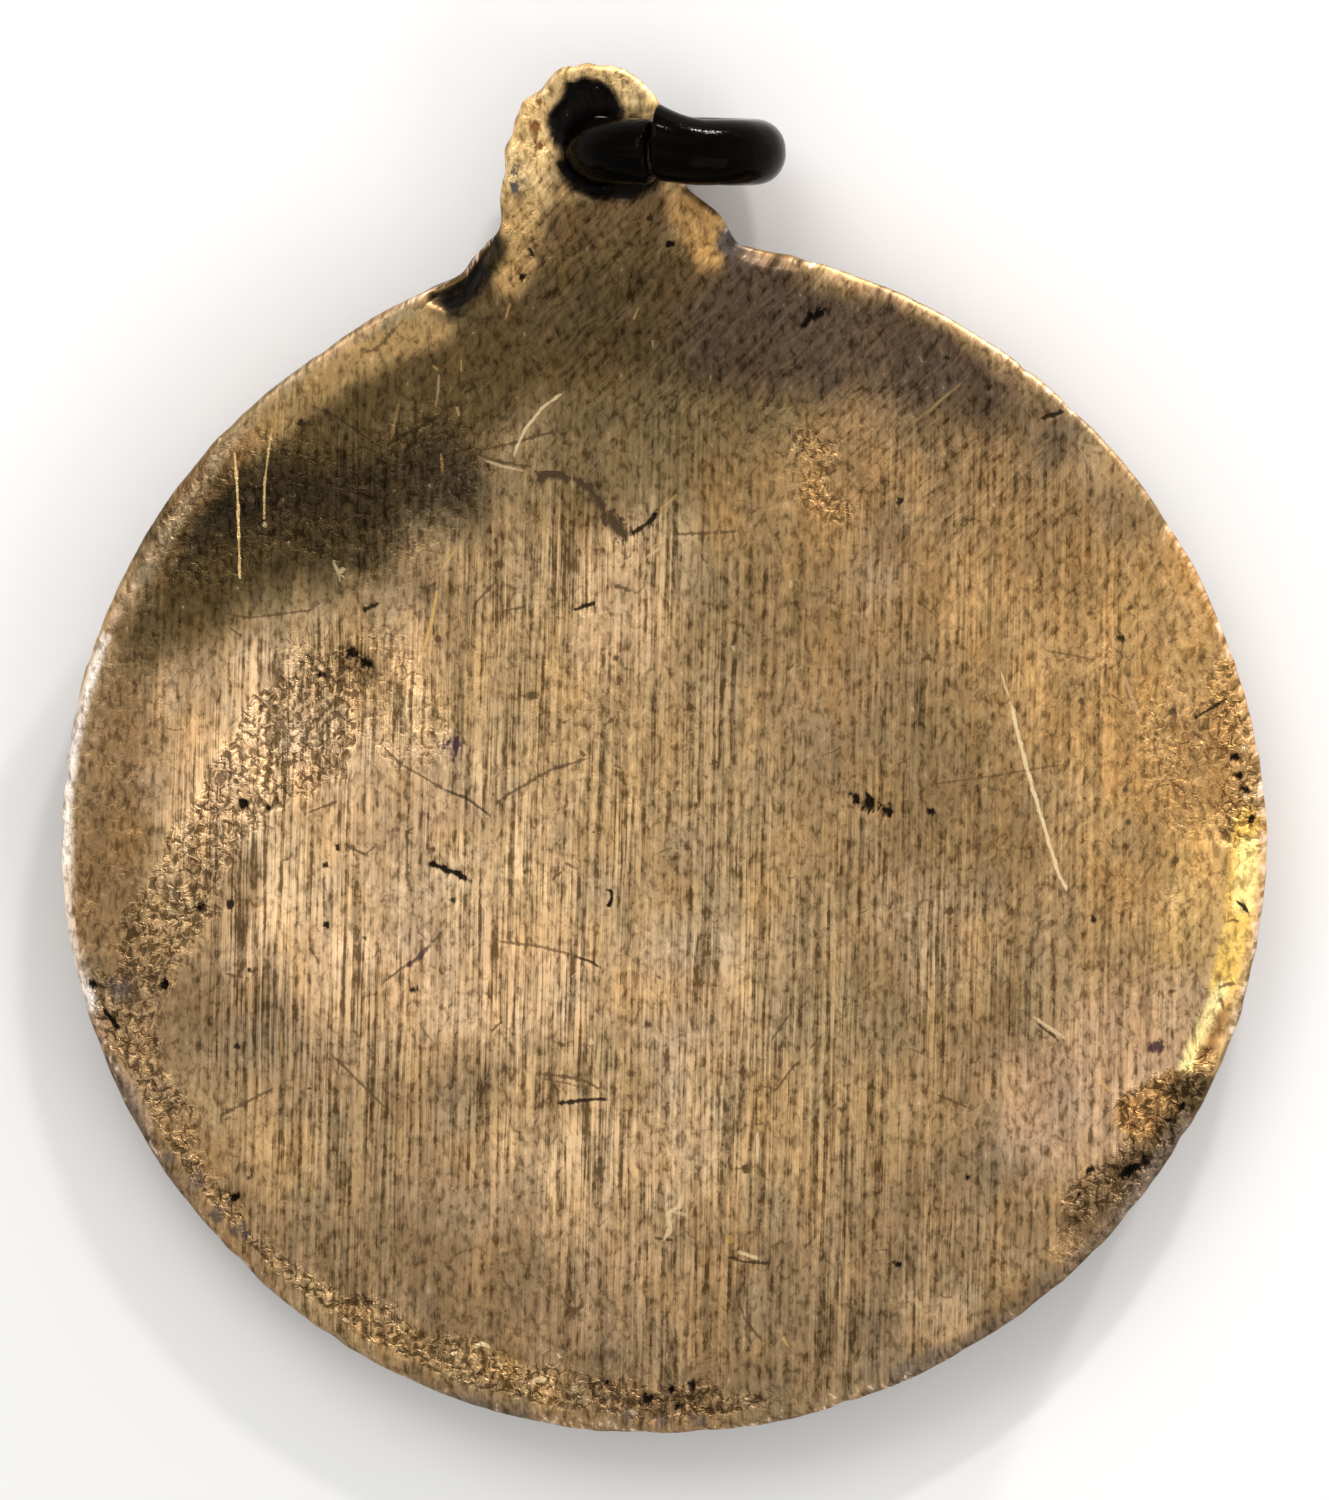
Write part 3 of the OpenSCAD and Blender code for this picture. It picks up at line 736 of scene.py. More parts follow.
medal = {
    "spacing": {"outline": 0.095, "fine": 0.085, "broad": 0.145, "lugUnder": 0.3, "under": 0.9},
    "shake": 0.14,        # how far each point of the honeycomb is moved, in spacings
    "outOfRound": 0.0113,  # share by which the disc is shorter up and down the picture
    "inset": 0.17,        # width of the worn rounding of the back's edge
    "roundDepth": 0.16,   # depth of that rounding
    "raggedEdge": 0.02,   # how far the edge wanders in and out
    "draft": 0.09,        # how far a millimetre of wall leans in
    "lugRound": 0.15,     # rounding of the lug's underside
    "wireGap": 0.035,     # what the crust in the hole leaves round the ring's wire
    "markReach": 0.16,    # how far round a scratch or spot its field is kept
    "layers": 6,          # layers that the scratches and spots are dealt out over
    "mostMark": 0.97,     # how strongly the deepest of them covers the metal
}
relief = {
    "broadWaves": 0.014,
    "fineWaves": 0.004,
    "pits": (0.02, 0.03, 0.05),       # depth of pitted ground: even, rough, and in its holes
    "rolledEdge": (0.05, 0.7),        # depth and width
    "wornEdge": (0.26, 0.95),         # the same where the edge is worn away at the right
    "wornFrom": (-27, 7),             # degrees where that begins, and over how many it deepens
    "wornTo": (4, 5),
    "corners": (1.0, 0.5),            # how much of the drop the left and the right corner have
    "holeHollow": 0.15,
    "lugTip": 0.03,
}
smoothStrip = {
    "from": (199, 6),                 # degrees where the strip beside the pitted band begins, and its fading
    "to": (288, 12),
    "width": (0.34, 0.16),
}
strewn = {
    "count": 130,                     # small marks beside the charted ones
    "within": 545,                    # pixels from the disc's middle
    "flecks": 0.3,                    # share of pale flecks
    "fleckTints": ["pale", "straw", "gold"],
    "lineTints": ["brown", "umber", "earth"],
    "depth": 0.002,
}
backZone, wallZone, underZone, boreZone = range(4)
farAway = 9.0     # a mark's field where it has none, in half widths


def discRadius(degrees):
    # the charted radius, a little shorter up and down the picture than across it
    angles, radii = np.array(discRadii).T
    shorter = 1 - medal["outOfRound"] * np.sin(np.radians(degrees)) ** 2
    return np.interp(degrees % 360, angles, radii) * shorter


def roundDisc(x, y):
    # the angle round the disc in degrees, and how far inside the disc's edge
    angle = np.degrees(np.arctan2(y, x))
    return angle, discRadius(angle) - np.hypot(x, y)


def nearLug(x, y, lowest, half=6):
    # the points above a height on the picture and within a half width of the lug
    return (y > lowest) & (np.abs(x + 1) < half)


def medalOutline():
    # the disc's edge from the lug's left side round to its right side, then the lug's own outline back,
    # with its two ends eased onto the disc
    spacing, ease = medal["spacing"]["outline"], 0.12
    lug = smoothPath(plan(lugOutline), spacing)
    angle = np.degrees(np.arctan2(lug[:, 1], lug[:, 0]))
    gap = discRadius(angle[[0, -1]]) / np.hypot(*lug[[0, -1]].T) - 1
    run = np.linspace(0, 1, len(lug))
    lug = lug * (1 + gap[0] * smooth(1 - run / ease) + gap[1] * smooth(1 - (1 - run) / ease))[:, None]
    steps = int(np.radians(360 + angle[0] - angle[-1]) * medalSize["radius"] / spacing)
    around = np.linspace(angle[-1], angle[0] + 360, steps)
    return discRadius(around)[:, None] * onCircle(np.radians(around)), lug, np.radians(angle[[0, -1]])


def inwards(loop):
    # unit vectors pointing into a closed loop that runs anticlockwise
    way = np.roll(loop, -3, axis=0) - np.roll(loop, 3, axis=0)
    way = way / np.hypot(*way.T)[:, None]
    return np.column_stack([-way[:, 1], way[:, 0]])


def strokeMask(x, y, line, half, soft):
    # 1 within half a width of a charted line, fading to 0 over the softness, all in pixels
    away = np.abs(alongLine(x, y, plan(line))[0])
    return 1 - smooth((away - pixelSize(half)) / pixelSize(soft))


def strokes(x, y, chart):
    # the strongest of a chart's strokes at each point
    amount = np.zeros(len(x))
    for strength, half, soft, line in chart:
        amount = np.maximum(amount, strength * strokeMask(x, y, line, half, soft))
    return amount


def pitting(x, y):
    # how pitted the ground is: inside the charted band and near the charted patches, with ragged limits,
    # but not on the smooth strip that runs along the rim at the lower left
    ragged = 0.32 * layered(x, y, 0.9, 50) + 0.25 * noise(x, y, 0.3, 55)
    amount = smooth(insideBy(x, y, plan(pittedBand)) / 0.45 + 0.6 + ragged)
    angle, fromEdge = roundDisc(x, y)
    (begin, fadeIn), (end, fadeOut), (width, soft) = smoothStrip.values()
    strip = smooth((angle % 360 - begin) / fadeIn) * smooth((end - angle % 360) / fadeOut)
    amount *= 1 - strip * (1 - smooth((fromEdge - width + 0.12 * ragged) / soft))
    return np.maximum(amount, strokes(x + 0.25 * ragged, y + 0.25 * ragged, pittedPatches))


def backHeight(x, y, pitted):
    # height of the back: broad waves, pitted ground, rolled edge, the two low corners, the worn hollow
    # round the hole, the dent, and the deeper scratches and spots
    z = relief["broadWaves"] * layered(x, y, 6.0, 10, 2) + relief["fineWaves"] * layered(x, y, 1.3, 20, 2)
    even, rough, holes = relief["pits"]
    z -= pitted * (even + rough * layered(x, y, 0.5, 30) + holes * smooth(noise(x, y, 0.32, 40) * 2.2 - 0.6))
    angle, fromEdge = roundDisc(x, y)
    onDisc = fromEdge > -0.05
    depth, width = relief["rolledEdge"]
    z -= onDisc * depth * np.clip(1 - fromEdge / width, 0, 1) ** 2
    (begin, fadeIn), (end, fadeOut) = relief["wornFrom"], relief["wornTo"]
    worn = smooth((angle - begin) / fadeIn) * smooth((end - angle) / fadeOut)
    depth, width = relief["wornEdge"]
    z -= onDisc * worn * depth * np.clip(1 - fromEdge / width, 0, 1) ** 1.6
    lug = np.flatnonzero(nearLug(x, y, 12))
    u, v = x[lug], y[lug]
    for corner, share in zip((leftCorner, rightCorner), relief["corners"]):
        z[lug] -= share * medalSize["cornerDrop"] * smooth(insideBy(u, v, plan(corner)) / 0.35 + 0.15)
    z[lug] -= relief["holeHollow"] * smooth(insideBy(u, v, plan(holeHollow)) / 0.3 + 0.3)
    z[lug] -= relief["lugTip"] * smooth(layered(u, v, 0.5, 60) - 0.1) * smooth((v - 15.5) / 1.5)
    dentAt = turned(0, pose["holeY"] + medalSize["dentShift"], photo["lean"])
    dentRadius = medalSize["dentRadius"]
    away = np.minimum(np.hypot(u - dentAt[0], v - dentAt[1]), dentRadius)
    dent = dentRadius - medalSize["dentDepth"] - np.sqrt(dentRadius ** 2 - away ** 2)
    z[lug] = np.minimum(z[lug], dent)
    for tint, half, depth, line in cuts:
        near, q, past = nearCut(x, y, line, max(pixelSize(half), 0.06))
        z[near] -= depth * np.exp(-q ** 2 - past ** 2)
    for tint, px, py, radius, depth in spots:
        centre = plan((px, py))
        z -= depth * smooth(1.3 - np.hypot(x - centre[0], y - centre[1]) / max(pixelSize(radius), 0.12))
    return z


def nearCut(x, y, line, half):
    # the points near a scratch, their signed distances in half widths, and how far past its tapered ends
    points = plan(line)
    reach = medal["markReach"] + half
    low, high = points.min(0) - 2 * reach, points.max(0) + 2 * reach
    near = np.flatnonzero((x > low[0]) & (x < high[0]) & (y > low[1]) & (y < high[1]))
    away, along, length = alongLine(x[near], y[near], points)
    taper = min(0.35, 0.35 * length)
    fromEnd = np.where(along < 0, 0, np.minimum(along, length - along))
    past = 1.1 * (1 - smooth(fromEnd / taper)) + np.where(along < 0, 2, 0)
    return near, away / half, past + np.where(np.abs(away) > reach, 5, 0)


def nearSpot(x, y, pixel, half):
    # the points near a spot, their two offsets in half widths, and far away for those beyond its reach
    centre = plan(pixel)
    reach = medal["markReach"] + half
    near = np.flatnonzero((np.abs(x - centre[0]) < 2 * reach) & (np.abs(y - centre[1]) < 2 * reach))
    u, v = (x[near] - centre[0]) / half, (y[near] - centre[1]) / half
    return near, u, v, np.where(np.hypot(u, v) * half > reach, farAway, 0.0)


def paintedTint(x, y):
    # the broad colours, laid over each other like washes whose limits a layered noise has shifted, more
    # where they are softer, then small changes of shade in upright streaks and of hue in patches
    u = 0.25 * layered(x, y * 0.5, 1.6, 70)
    v = 0.3 * layered(x * 1.4, y * 0.5, 2.2, 80) + 0.2 * noise(x, y * 0.08, 0.22, 85)
    colour = np.tile(np.array(tints["tan"], float), (len(x), 1))
    for tint, strength, half, soft, line in washes:
        shift = min(1.0, soft / 30)
        near = strokeMask(x + shift * u, y + shift * v, line, half, soft)
        colour += strength * near[:, None] * (np.array(tints[tint], float) - colour)
    shade = 1 + 0.06 * noise(x, y * 0.15, 0.3, 86) + 0.045 * layered(x, y, 0.9, 87)
    hue = 0.6 * layered(x, y, 1.3, 88, 2) + 0.5 * noise(x, y * 0.3, 0.35, 89)
    return colour * shade[:, None] * (1 + hue[:, None] * (0.025, -0.005, -0.06))


def spread(marks):
    # deals marks out over a few layers, so that no two in a layer lie close together
    layers = [[] for k in range(medal["layers"])]
    for mark in marks:
        tint, half, depth, line = mark
        points = smoothPath(plan(line), 0.12) if len(line) > 1 else plan(line)
        reach = pixelSize(half) + medal["markReach"]
        for layer in layers:
            gaps = [
                np.hypot(*(points[:, None] - others[None]).reshape(-1, 2).T).min() - reach - otherReach
                for other, others, otherReach in layer
            ]
            if all(gap > 0 for gap in gaps):
                layer.append((mark, points, reach))
                break
        else:
            print("no layer left for", tint, line)
    return [[entry[0] for entry in layer] for layer in layers]


def strewnCuts(seed):
    # small marks strewn over the back: short crooked dark lines, and pale flecks along the brushing
    rng = np.random.default_rng(seed)
    count = strewn["count"]
    radius = strewn["within"] * np.sqrt(rng.random(count))
    angle = rng.uniform(0, 2 * np.pi, count)
    x, y = photo["middle"][0] + radius * np.cos(angle), photo["middle"][1] + radius * np.sin(angle)
    fleck = rng.random(count) < strewn["flecks"]
    way = np.radians(np.where(fleck, rng.normal(90, 6, count), rng.uniform(-60, 70, count)))
    length = rng.uniform(4, 12, count) * np.where(fleck, 1.6, 1.0)
    bend = np.radians(np.where(fleck, rng.normal(0, 6, count), rng.normal(0, 40, count)))
    light = rng.choice(strewn["fleckTints"], count)
    tint = np.where(fleck, light, rng.choice(strewn["lineTints"], count))
    half = rng.uniform(0.8, 1.3, count)
    u, v = x + length * np.cos(way), y - length * np.sin(way)
    lines = np.stack([x, y, u, v, u + length * np.cos(way + bend), v - length * np.sin(way + bend)], axis=1)
    return [(str(tint[k]), half[k], strewn["depth"], lines[k].reshape(3, 2)) for k in range(count)]


def markLayers(x, y, front):
    # marks as fields on the points, from which the material draws sharp edges: across a scratch and past
    # its ends, or a spot's two offsets, in half widths, and far outside; the tint's fourth value is strength
    found = {}
    every = [(tint, radius, depth, [(px, py)]) for tint, px, py, radius, depth in spots]
    every += cuts + strewnCuts(5)
    for k, layer in enumerate(spread(every)):
        field = np.full((len(x), 3), farAway)
        tint = np.tile(tinted("umber", 0), (len(x), 1))
        for name, half, depth, line in layer:
            size = pixelSize(half)
            if len(line) == 1:
                near, u, v, outside = nearSpot(x, y, line[0], size)
            else:
                near, u, v = nearCut(x, y, line, size)
                outside = np.zeros(len(near))
            better = (field[near, 2] > 1) & front[near]
            near = near[better]
            field[near] = np.column_stack([u, v, outside])[better]
            least = 0.6 if sum(tints[name]) < 340 else 0.4    # a dark mark shows even where it is shallow
            tint[near] = tinted(name, least + (medal["mostMark"] - least) * smooth(depth / 0.02))
        found[f"mark{k}"] = field
        found[f"markTint{k}"] = tint
    return found


def blackHollow(x, y):
    # the black hollow round the hole, with a ragged limit: painted shade in the countersink and under the
    # ring
    found = np.zeros(len(x))
    near = np.flatnonzero(nearLug(x, y, 14, 4))
    u, v = x[near], y[near]
    ragged = 0.06 * layered(u, v, 0.35, 120)
    found[near] = smooth((insideBy(u, v, plan(holeHollow)) + ragged) / 0.16 + 0.5)
    return found


def hexagons(spacing, seed):
    # points in a honeycomb over the whole medal, each shaken a little
    left, right, top = -15.4, 15.4, 20.2
    x, y = np.meshgrid(np.arange(left, right, spacing), np.arange(left, top, spacing * np.sqrt(0.75)))
    x[1::2] += spacing / 2
    shake = np.random.default_rng(seed).uniform(-medal["shake"], medal["shake"], (2, x.size)) * spacing
    return x.ravel() + shake[0], y.ravel() + shake[1]


def outsideHole(x, y, margin):
    # further from the hole's middle than its bevelled mouth and a margin
    away = np.hypot(x - holeAt[0], y - holeAt[1])
    return away > medalSize["holeRadius"] + medalSize["holeBevel"] + margin


def insideOutline(x, y, inset, margin):
    # inside the disc by its radius, or inside the lug by its outline
    inside = roundDisc(x, y)[1] > medal["inset"] + 0.1 + margin
    lug = np.flatnonzero(nearLug(x, y, 12.5))
    inside[lug] = insideBy(x[lug], y[lug], inset) > margin
    return inside & outsideHole(x, y, margin)


def edgeWander(x, y, onLug):
    # how far the edge lies inside the outline: ragged all round, chipped on the lug and scalloped at the
    # left, and the depth of the charted nicks
    wander = medal["raggedEdge"] * (noise(x, y, 0.4, 90) + noise(x, y, 1.1, 91))
    chipped = onLug & (x < -1.2) & (y > 14.5)
    scalloped = (x < -14) & (y > 0) & (y < 5)
    wander += np.where(chipped, 0.05, 0) * np.maximum(noise(x, y, 0.32, 92), -0.2)
    wander += np.where(scalloped, 0.035, 0) * noise(x, y, 0.3, 93)
    dips = np.zeros(len(x))
    for px, py, wide, deep in edgeNicks:
        centre = plan((px, py))
        away = np.hypot(x - centre[0], y - centre[1])
        dips += pixelSize(deep) * np.exp(-(away / pixelSize(wide)) ** 2)
    return wander, dips


def backPoints(inset):
    # the back's inner points, closer together on pitted ground, at the edge and on the lug
    kept = []
    for seed, kind in enumerate(("fine", "broad"), 1):
        spacing = medal["spacing"][kind]
        x, y = hexagons(spacing, seed)
        inside = insideOutline(x, y, inset[::2], 0.6 * spacing)
        x, y = x[inside], y[inside]
        needsFine = (roundDisc(x, y)[1] < 0.6) | (pitting(x, y) > 0.35)
        kept.append(np.column_stack([x, y])[needsFine == (kind == "fine")])
    return np.vstack(kept)


def medalFinish(x, y, z, zone, edge):
    # what the material reads at each point: place, colour, pitting, brushing, wear and painted rim
    # highlights, painted shade round the hole, and marks
    front, under = zone == backZone, zone == underZone
    wave = np.clip(0.5 + 0.5 * layered(x, y, 5, 110), 0, 1)[:, None]
    plain = np.array(tints["honey"]) * (1 - wave) + np.array(tints["dun"]) * wave
    onWall = (zone == wallZone) * smooth((-z - 0.12) / 0.3)
    # patches on the wall, and darker towards its bottom
    patchyAndDarkerLow = 1 + onWall * (0.2 * layered(x, y, 3.0, 113) - 0.2 * smooth((-z - 0.9) / 1.2))
    painted = paintedTint(x, y)
    wall = painted + 0.72 * onWall[:, None] * (np.array(tints["sideBrass"], float) - painted)
    wall *= patchyAndDarkerLow[:, None]
    painted = np.where(under[:, None], plain, np.where((zone == wallZone)[:, None], wall, painted))
    # the hollow round the hole and the bore are painted black as shade
    hole = blackHollow(x, y) * ~under
    painted += (hole * (zone != wallZone))[:, None] * (np.array(tints["black"]) - painted)
    painted = np.where((zone == boreZone)[:, None], tints["black"], painted)
    patchy = np.clip(0.72 + 0.4 * layered(x * 1.6, y * 0.5, 1.8, 111), 0.25, 1.2)
    shaken = 0.01 * layered(x, y * 0.4, 0.6, 130, 2), 0.1 * layered(x, y, 0.6, 134, 2)
    crumbled = pitting(x, y) + 0.1 * layered(x, y, 0.8, 112)
    return {
        "skin": np.column_stack([x + 0.8 * z + shaken[0], y + 0.6 * z + shaken[1], 0 * z]),
        "around": np.column_stack([z, np.arctan2(x, -y) * medalSize["radius"], onWall]),
        "calm": np.where(under, 0.75, onWall),
        "wash": np.column_stack([linear(painted), np.ones(len(x))]),
        "pitted": crumbled * np.where(under, 0, np.where(front, 1, 0.7)),
        "upright": np.where(under, 0.35, strokes(x, y, uprightBrush) * front * patchy),
        "slanted": strokes(x, y, slantedBrush) * front,
        # bare metal at worn edges, and thin painted highlights along the rim
        "edge": edge * (1 - hole) * np.where(under, 1, 0.1 + 0.9 * strokes(x, y, rimWearAndHighlights)),
        # painted shade in the hollow round the hole and in the bore
        "hollowShade": np.clip(hole + (zone == boreZone), 0, 1),
        **markLayers(x, y, front),
    }


def buildMedal(material):
    # the back is a height over a dense sheet of points, the walls are bands carried round the outline
    size = medalSize
    disc, lug, ends = medalOutline()
    loop = np.vstack([disc, lug[1:-1]])
    nDisc, nLoop = len(disc), len(loop)
    into = inwards(loop)
    x, y = loop.T
    onLug = np.arange(nLoop) >= nDisc
    wander, dips = edgeWander(x, y, onLug)
    insetWidth = medal["inset"] * (1 + 0.3 * noise(x, y, 2.5, 94))
    inset = loop + into * (insetWidth + 0.6 * dips)[:, None]
    outer = loop + into * (wander + dips)[:, None]

    shell = startShell()
    inner = backPoints(inset)
    around = np.linspace(0, 2 * np.pi, 96, endpoint=False)
    ring = onCircle(around)
    mouth = holeAt + ring * (size["holeRadius"] + size["holeBevel"])
    flat = np.vstack([inset, mouth, inner])
    height = backHeight(*flat.T, pitting(*flat.T))
    topZ, mouthZ, innerZ = np.split(height, [nLoop, nLoop + len(mouth)])
    top = put(shell, atHeight(inset, topZ), backZone, 0.5)
    mouthTop = put(shell, atHeight(mouth, mouthZ), backZone)
    fill(shell, top, mouthTop, put(shell, atHeight(inner, innerZ), backZone))
    print("back of the medal:", len(flat), "points")

    # rounded edge and wall down to the lug's underside
    above = top
    for degrees, edge in ((28, 0.9), (58, 1.0), (90, 0.7)):
        a = np.radians(degrees)
        points = inset + (outer - inset) * np.sin(a)
        z = topZ - medal["roundDepth"] * (1 - np.cos(a)) * (1 + 0.4 * noise(x, y, 0.6, 95))
        below = put(shell, atHeight(points, z), wallZone, edge)
        band(shell, above, below)
        above = below
    wallZ = topZ - medal["roundDepth"]
    lugZ = -size["lugThick"]
    rows = np.arange(nLoop) - nDisc
    fromEnds = np.minimum(rows + 1, len(lug) - 2 - rows) * medal["spacing"]["outline"]
    lowerRound = np.where(onLug, medal["lugRound"] * smooth(fromEnds / 0.6), 0)
    for share in (0.45, 1.0):
        z = wallZ + (lugZ + lowerRound - wallZ) * share
        rough = 0.012 * layered(x * 2, y * 2, 1.0, 96) * (share < 1)
        shift = into * (rough + medal["draft"] * (wallZ - z))[:, None]
        below = put(shell, atHeight(outer + shift, z), wallZone, 0.15)
        band(shell, above, below)
        above = below
    foot = above

    # rounding of the lug's underside, from its right end on the disc to its left
    path = np.concatenate([[nDisc - 1], np.arange(nDisc, nLoop), [0]])
    above = foot[path]
    for share in (0.3, 1.0):
        points = (outer + shift + into * (lowerRound * share)[:, None])[path]
        z = (lugZ + lowerRound * (1 - share) ** 2)[path]
        made = put(shell, atHeight(points, z)[1:-1], wallZone, 0.5)
        below = np.concatenate([above[:1], made, above[-1:]])
        band(shell, above, below, closed=False)
        above = below

    # the disc's edge under the lug, and the lug's flat underside round the lower mouth of the hole
    arcAngles = np.linspace(ends[0], ends[1], int((ends[1] - ends[0]) * size["radius"] / 0.1))[1:-1]
    fromEnd = np.minimum(arcAngles - ends[0], ends[1] - arcAngles) * size["radius"]
    arcRadius = discRadius(np.degrees(arcAngles)) - 0.1 - 0.15 * np.minimum(fromEnd / 0.3, 1)
    arc = arcRadius[:, None] * onCircle(arcAngles)
    arcTop = put(shell, atHeight(arc, lugZ), wallZone)
    mouthUnder = put(shell, atHeight(mouth, lugZ), underZone)
    outline = np.concatenate([above, arcTop[::-1]])
    gx, gy = hexagons(medal["spacing"]["lugUnder"], 3)
    near = nearLug(gx, gy, 13) & outsideHole(gx, gy, 0.1)
    gx, gy = gx[near], gy[near]
    inLug = insideBy(gx, gy, np.vstack(shell["points"])[outline, :2]) > 0.12
    lugField = atHeight(np.column_stack([gx, gy])[inLug], lugZ)
    fill(shell, outline, mouthUnder, put(shell, lugField, underZone), up=False)

    # the bore: a bevel, then a crust painted black as shade, which leaves the ring's wire a small gap, and a
    # bevel
    above = mouthTop
    middle, offY = pose["ringMiddle"], -ringSize["hang"]
    for share in (0.08, 0.3, 0.5, 0.7, 0.92):
        depth = lugZ * share
        offX = middle - np.sqrt(middle ** 2 - (depth + size["lugThick"] / 2) ** 2)
        rough = 0.008 * noise(around, 0 * around + share * 9, 0.5, 121)
        wireRadius = ringSize["wire"] / 2 + medal["wireGap"] + rough
        toWire = offX * ring[:, 0] + offY * ring[:, 1]
        wide = toWire + np.sqrt(wireRadius ** 2 - offX ** 2 - offY ** 2 + toWire ** 2)
        z = depth + (mouthZ - mouthZ.mean()) * (1 - share)
        below = put(shell, atHeight(holeAt + ring * wide[:, None], z), boreZone)
        band(shell, below, above)
        above = below
    band(shell, mouthUnder, above)

    # the disc's lower wall, its rounding, the raised rim and the plain field under it
    rim = np.vstack([disc, arc])
    rimInto = -rim / np.hypot(*rim.T)[:, None]
    rx, ry = rim.T
    ragged = (0.5 * medal["raggedEdge"] * (noise(rx, ry, 0.5, 97) + noise(rx, ry, 1.5, 98)))[:, None]
    above = np.concatenate([foot[:nDisc], arcTop])
    start = np.vstack(shell["points"])[above, :2]
    thick, radius, rimWidth = size["thick"], size["edge"], size["rimWidth"]
    slope = size["fieldDepth"] * 0.6
    rounding = np.radians((30, 60, 90))
    profile = [
        # distance in from the edge, height, and how exposed to wear
        (0.0, -1.7, 0.1),
        (0.0, radius - thick, 0.5),
        *((radius * (1 - np.cos(a)), radius - thick - radius * np.sin(a), 1.0) for a in rounding),
        (rimWidth * 0.6, -thick, 0.25),
        (rimWidth - 0.06, -thick, 0.6),
        (rimWidth + 0.02, 0.05 - thick, 0.8),
        (rimWidth + slope, size["fieldDepth"] - thick, 0.0),
    ]
    for inward, z, edge in profile:
        mix = smooth(inward / 0.5)
        base = start * (1 - mix) + (rim + 0.1 * rimInto) * mix
        lean = medal["draft"] * (lugZ - z) * (1 - mix)
        points = base + rimInto * (inward + lean + ragged * (1 - mix))
        below = put(shell, atHeight(points, z), wallZone if inward < radius else underZone, edge)
        band(shell, above, below)
        above = below
    gx, gy = hexagons(medal["spacing"]["under"], 4)
    inField = np.hypot(gx, gy) < size["radius"] - rimWidth - slope - 0.6
    gx, gy = gx[inField], gy[inField]
    z = size["fieldDepth"] - thick + 0.012 * layered(gx, gy, 5, 99)
    field = put(shell, np.column_stack([gx, gy, z]), underZone)
    fill(shell, above, np.array([], int), field, up=False)

    points = np.vstack(shell["points"])
    finish = medalFinish(*points.T, np.concatenate(shell["zones"]), np.concatenate(shell["edges"]))
    return meshPiece("medal_body", place(points), np.vstack(shell["faces"]), finish, material)


# Shader tools

def addNode(tree, kind, inputs=None, **settings):
    # a node with its settings, and for each input a link or a fixed value
    made = tree.nodes.new(kind)
    for name, value in settings.items():
        setattr(made, name, value)
    for socket, value in (inputs or {}).items():
        if isinstance(value, bpy.types.NodeSocket):
            tree.links.new(value, made.inputs[socket])
        else:
            made.inputs[socket].default_value = value
    return made


def linkAll(tree, sockets, values):
    # links each value to the socket of its name
    for label, value in values.items():
        tree.links.new(value, sockets[label])


def calc(tree, operation, *values, clamp=False):
    # one sum on numbers
    made = addNode(tree, "ShaderNodeMath", dict(enumerate(values)), operation=operation, use_clamp=clamp)
    return made.outputs[0]


def centred(tree, value):
    # values of 0 to 1 moved to lie about 0
    return calc(tree, "SUBTRACT", value, 0.5)


def rise(tree, value, low, high, to=(0.0, 1.0)):
    # an even rise from to[0] at low to to[1] at high
    spec = {"Value": value, "From Min": low, "From Max": high, "To Min": to[0], "To Max": to[1]}
    return addNode(tree, "ShaderNodeMapRange", spec, interpolation_type="SMOOTHSTEP").outputs[0]


def stretched(tree, vector, factors):
    # a place with each direction multiplied by its own factor
    made = addNode(tree, "ShaderNodeVectorMath", {0: vector, 1: factors}, operation="MULTIPLY")
    return made.outputs[0]


def mixColours(tree, amount, first, second, way="MIX"):
    # the first where the amount is 0 and the second where it is 1
    made = addNode(tree, "ShaderNodeMix", {0: amount, 6: first, 7: second}, data_type="RGBA", blend_type=way)
    return made.outputs[2]


def multiplied(tree, colour, factors):
    # a colour with its red, green and blue each multiplied by a factor
    return mixColours(tree, 1.0, colour, (*factors, 1), "MULTIPLY")


def attribute(tree, name, output="Vector"):
    # what the mesh holds at each point under a name
    return addNode(tree, "ShaderNodeAttribute", attribute_name=name).outputs[output]


def noiseValue(tree, vector, scale=1.0, detail=2.0, rough=0.5, distortion=0.0):
    # Blender's own noise over a flat place, from 0 to 1
    spec = {"Vector": vector, "Scale": scale, "Detail": detail, "Roughness": rough, "Distortion": distortion}
    return addNode(tree, "ShaderNodeTexNoise", spec, noise_dimensions="2D").outputs[0]


def bumped(tree, height):
    # a height in millimetres as a normal
    spec = {"Height": height, "Distance": 0.001, "Strength": 1.0}
    return addNode(tree, "ShaderNodeBump", spec).outputs[0]


def startGroup(name, inputs, outputs):
    # inputs are numbers with their usual values, or vectors where that is None; outputs are numbers
    tree = bpy.data.node_groups.new(name, "ShaderNodeTree")
    for label, value in inputs.items():
        kind = "NodeSocketVector" if value is None else "NodeSocketFloat"
        socket = tree.interface.new_socket(name=label, in_out="INPUT", socket_type=kind)
        if value is not None:
            socket.default_value = value
    for label in outputs:
        tree.interface.new_socket(name=label, in_out="OUTPUT", socket_type="NodeSocketFloat")
    return tree, tree.nodes.new("NodeGroupInput").outputs, tree.nodes.new("NodeGroupOutput").inputs


def useGroup(tree, group, **values):
    # a group's outputs, with its inputs given by name
    return addNode(tree, "ShaderNodeGroup", values, node_tree=group).outputs


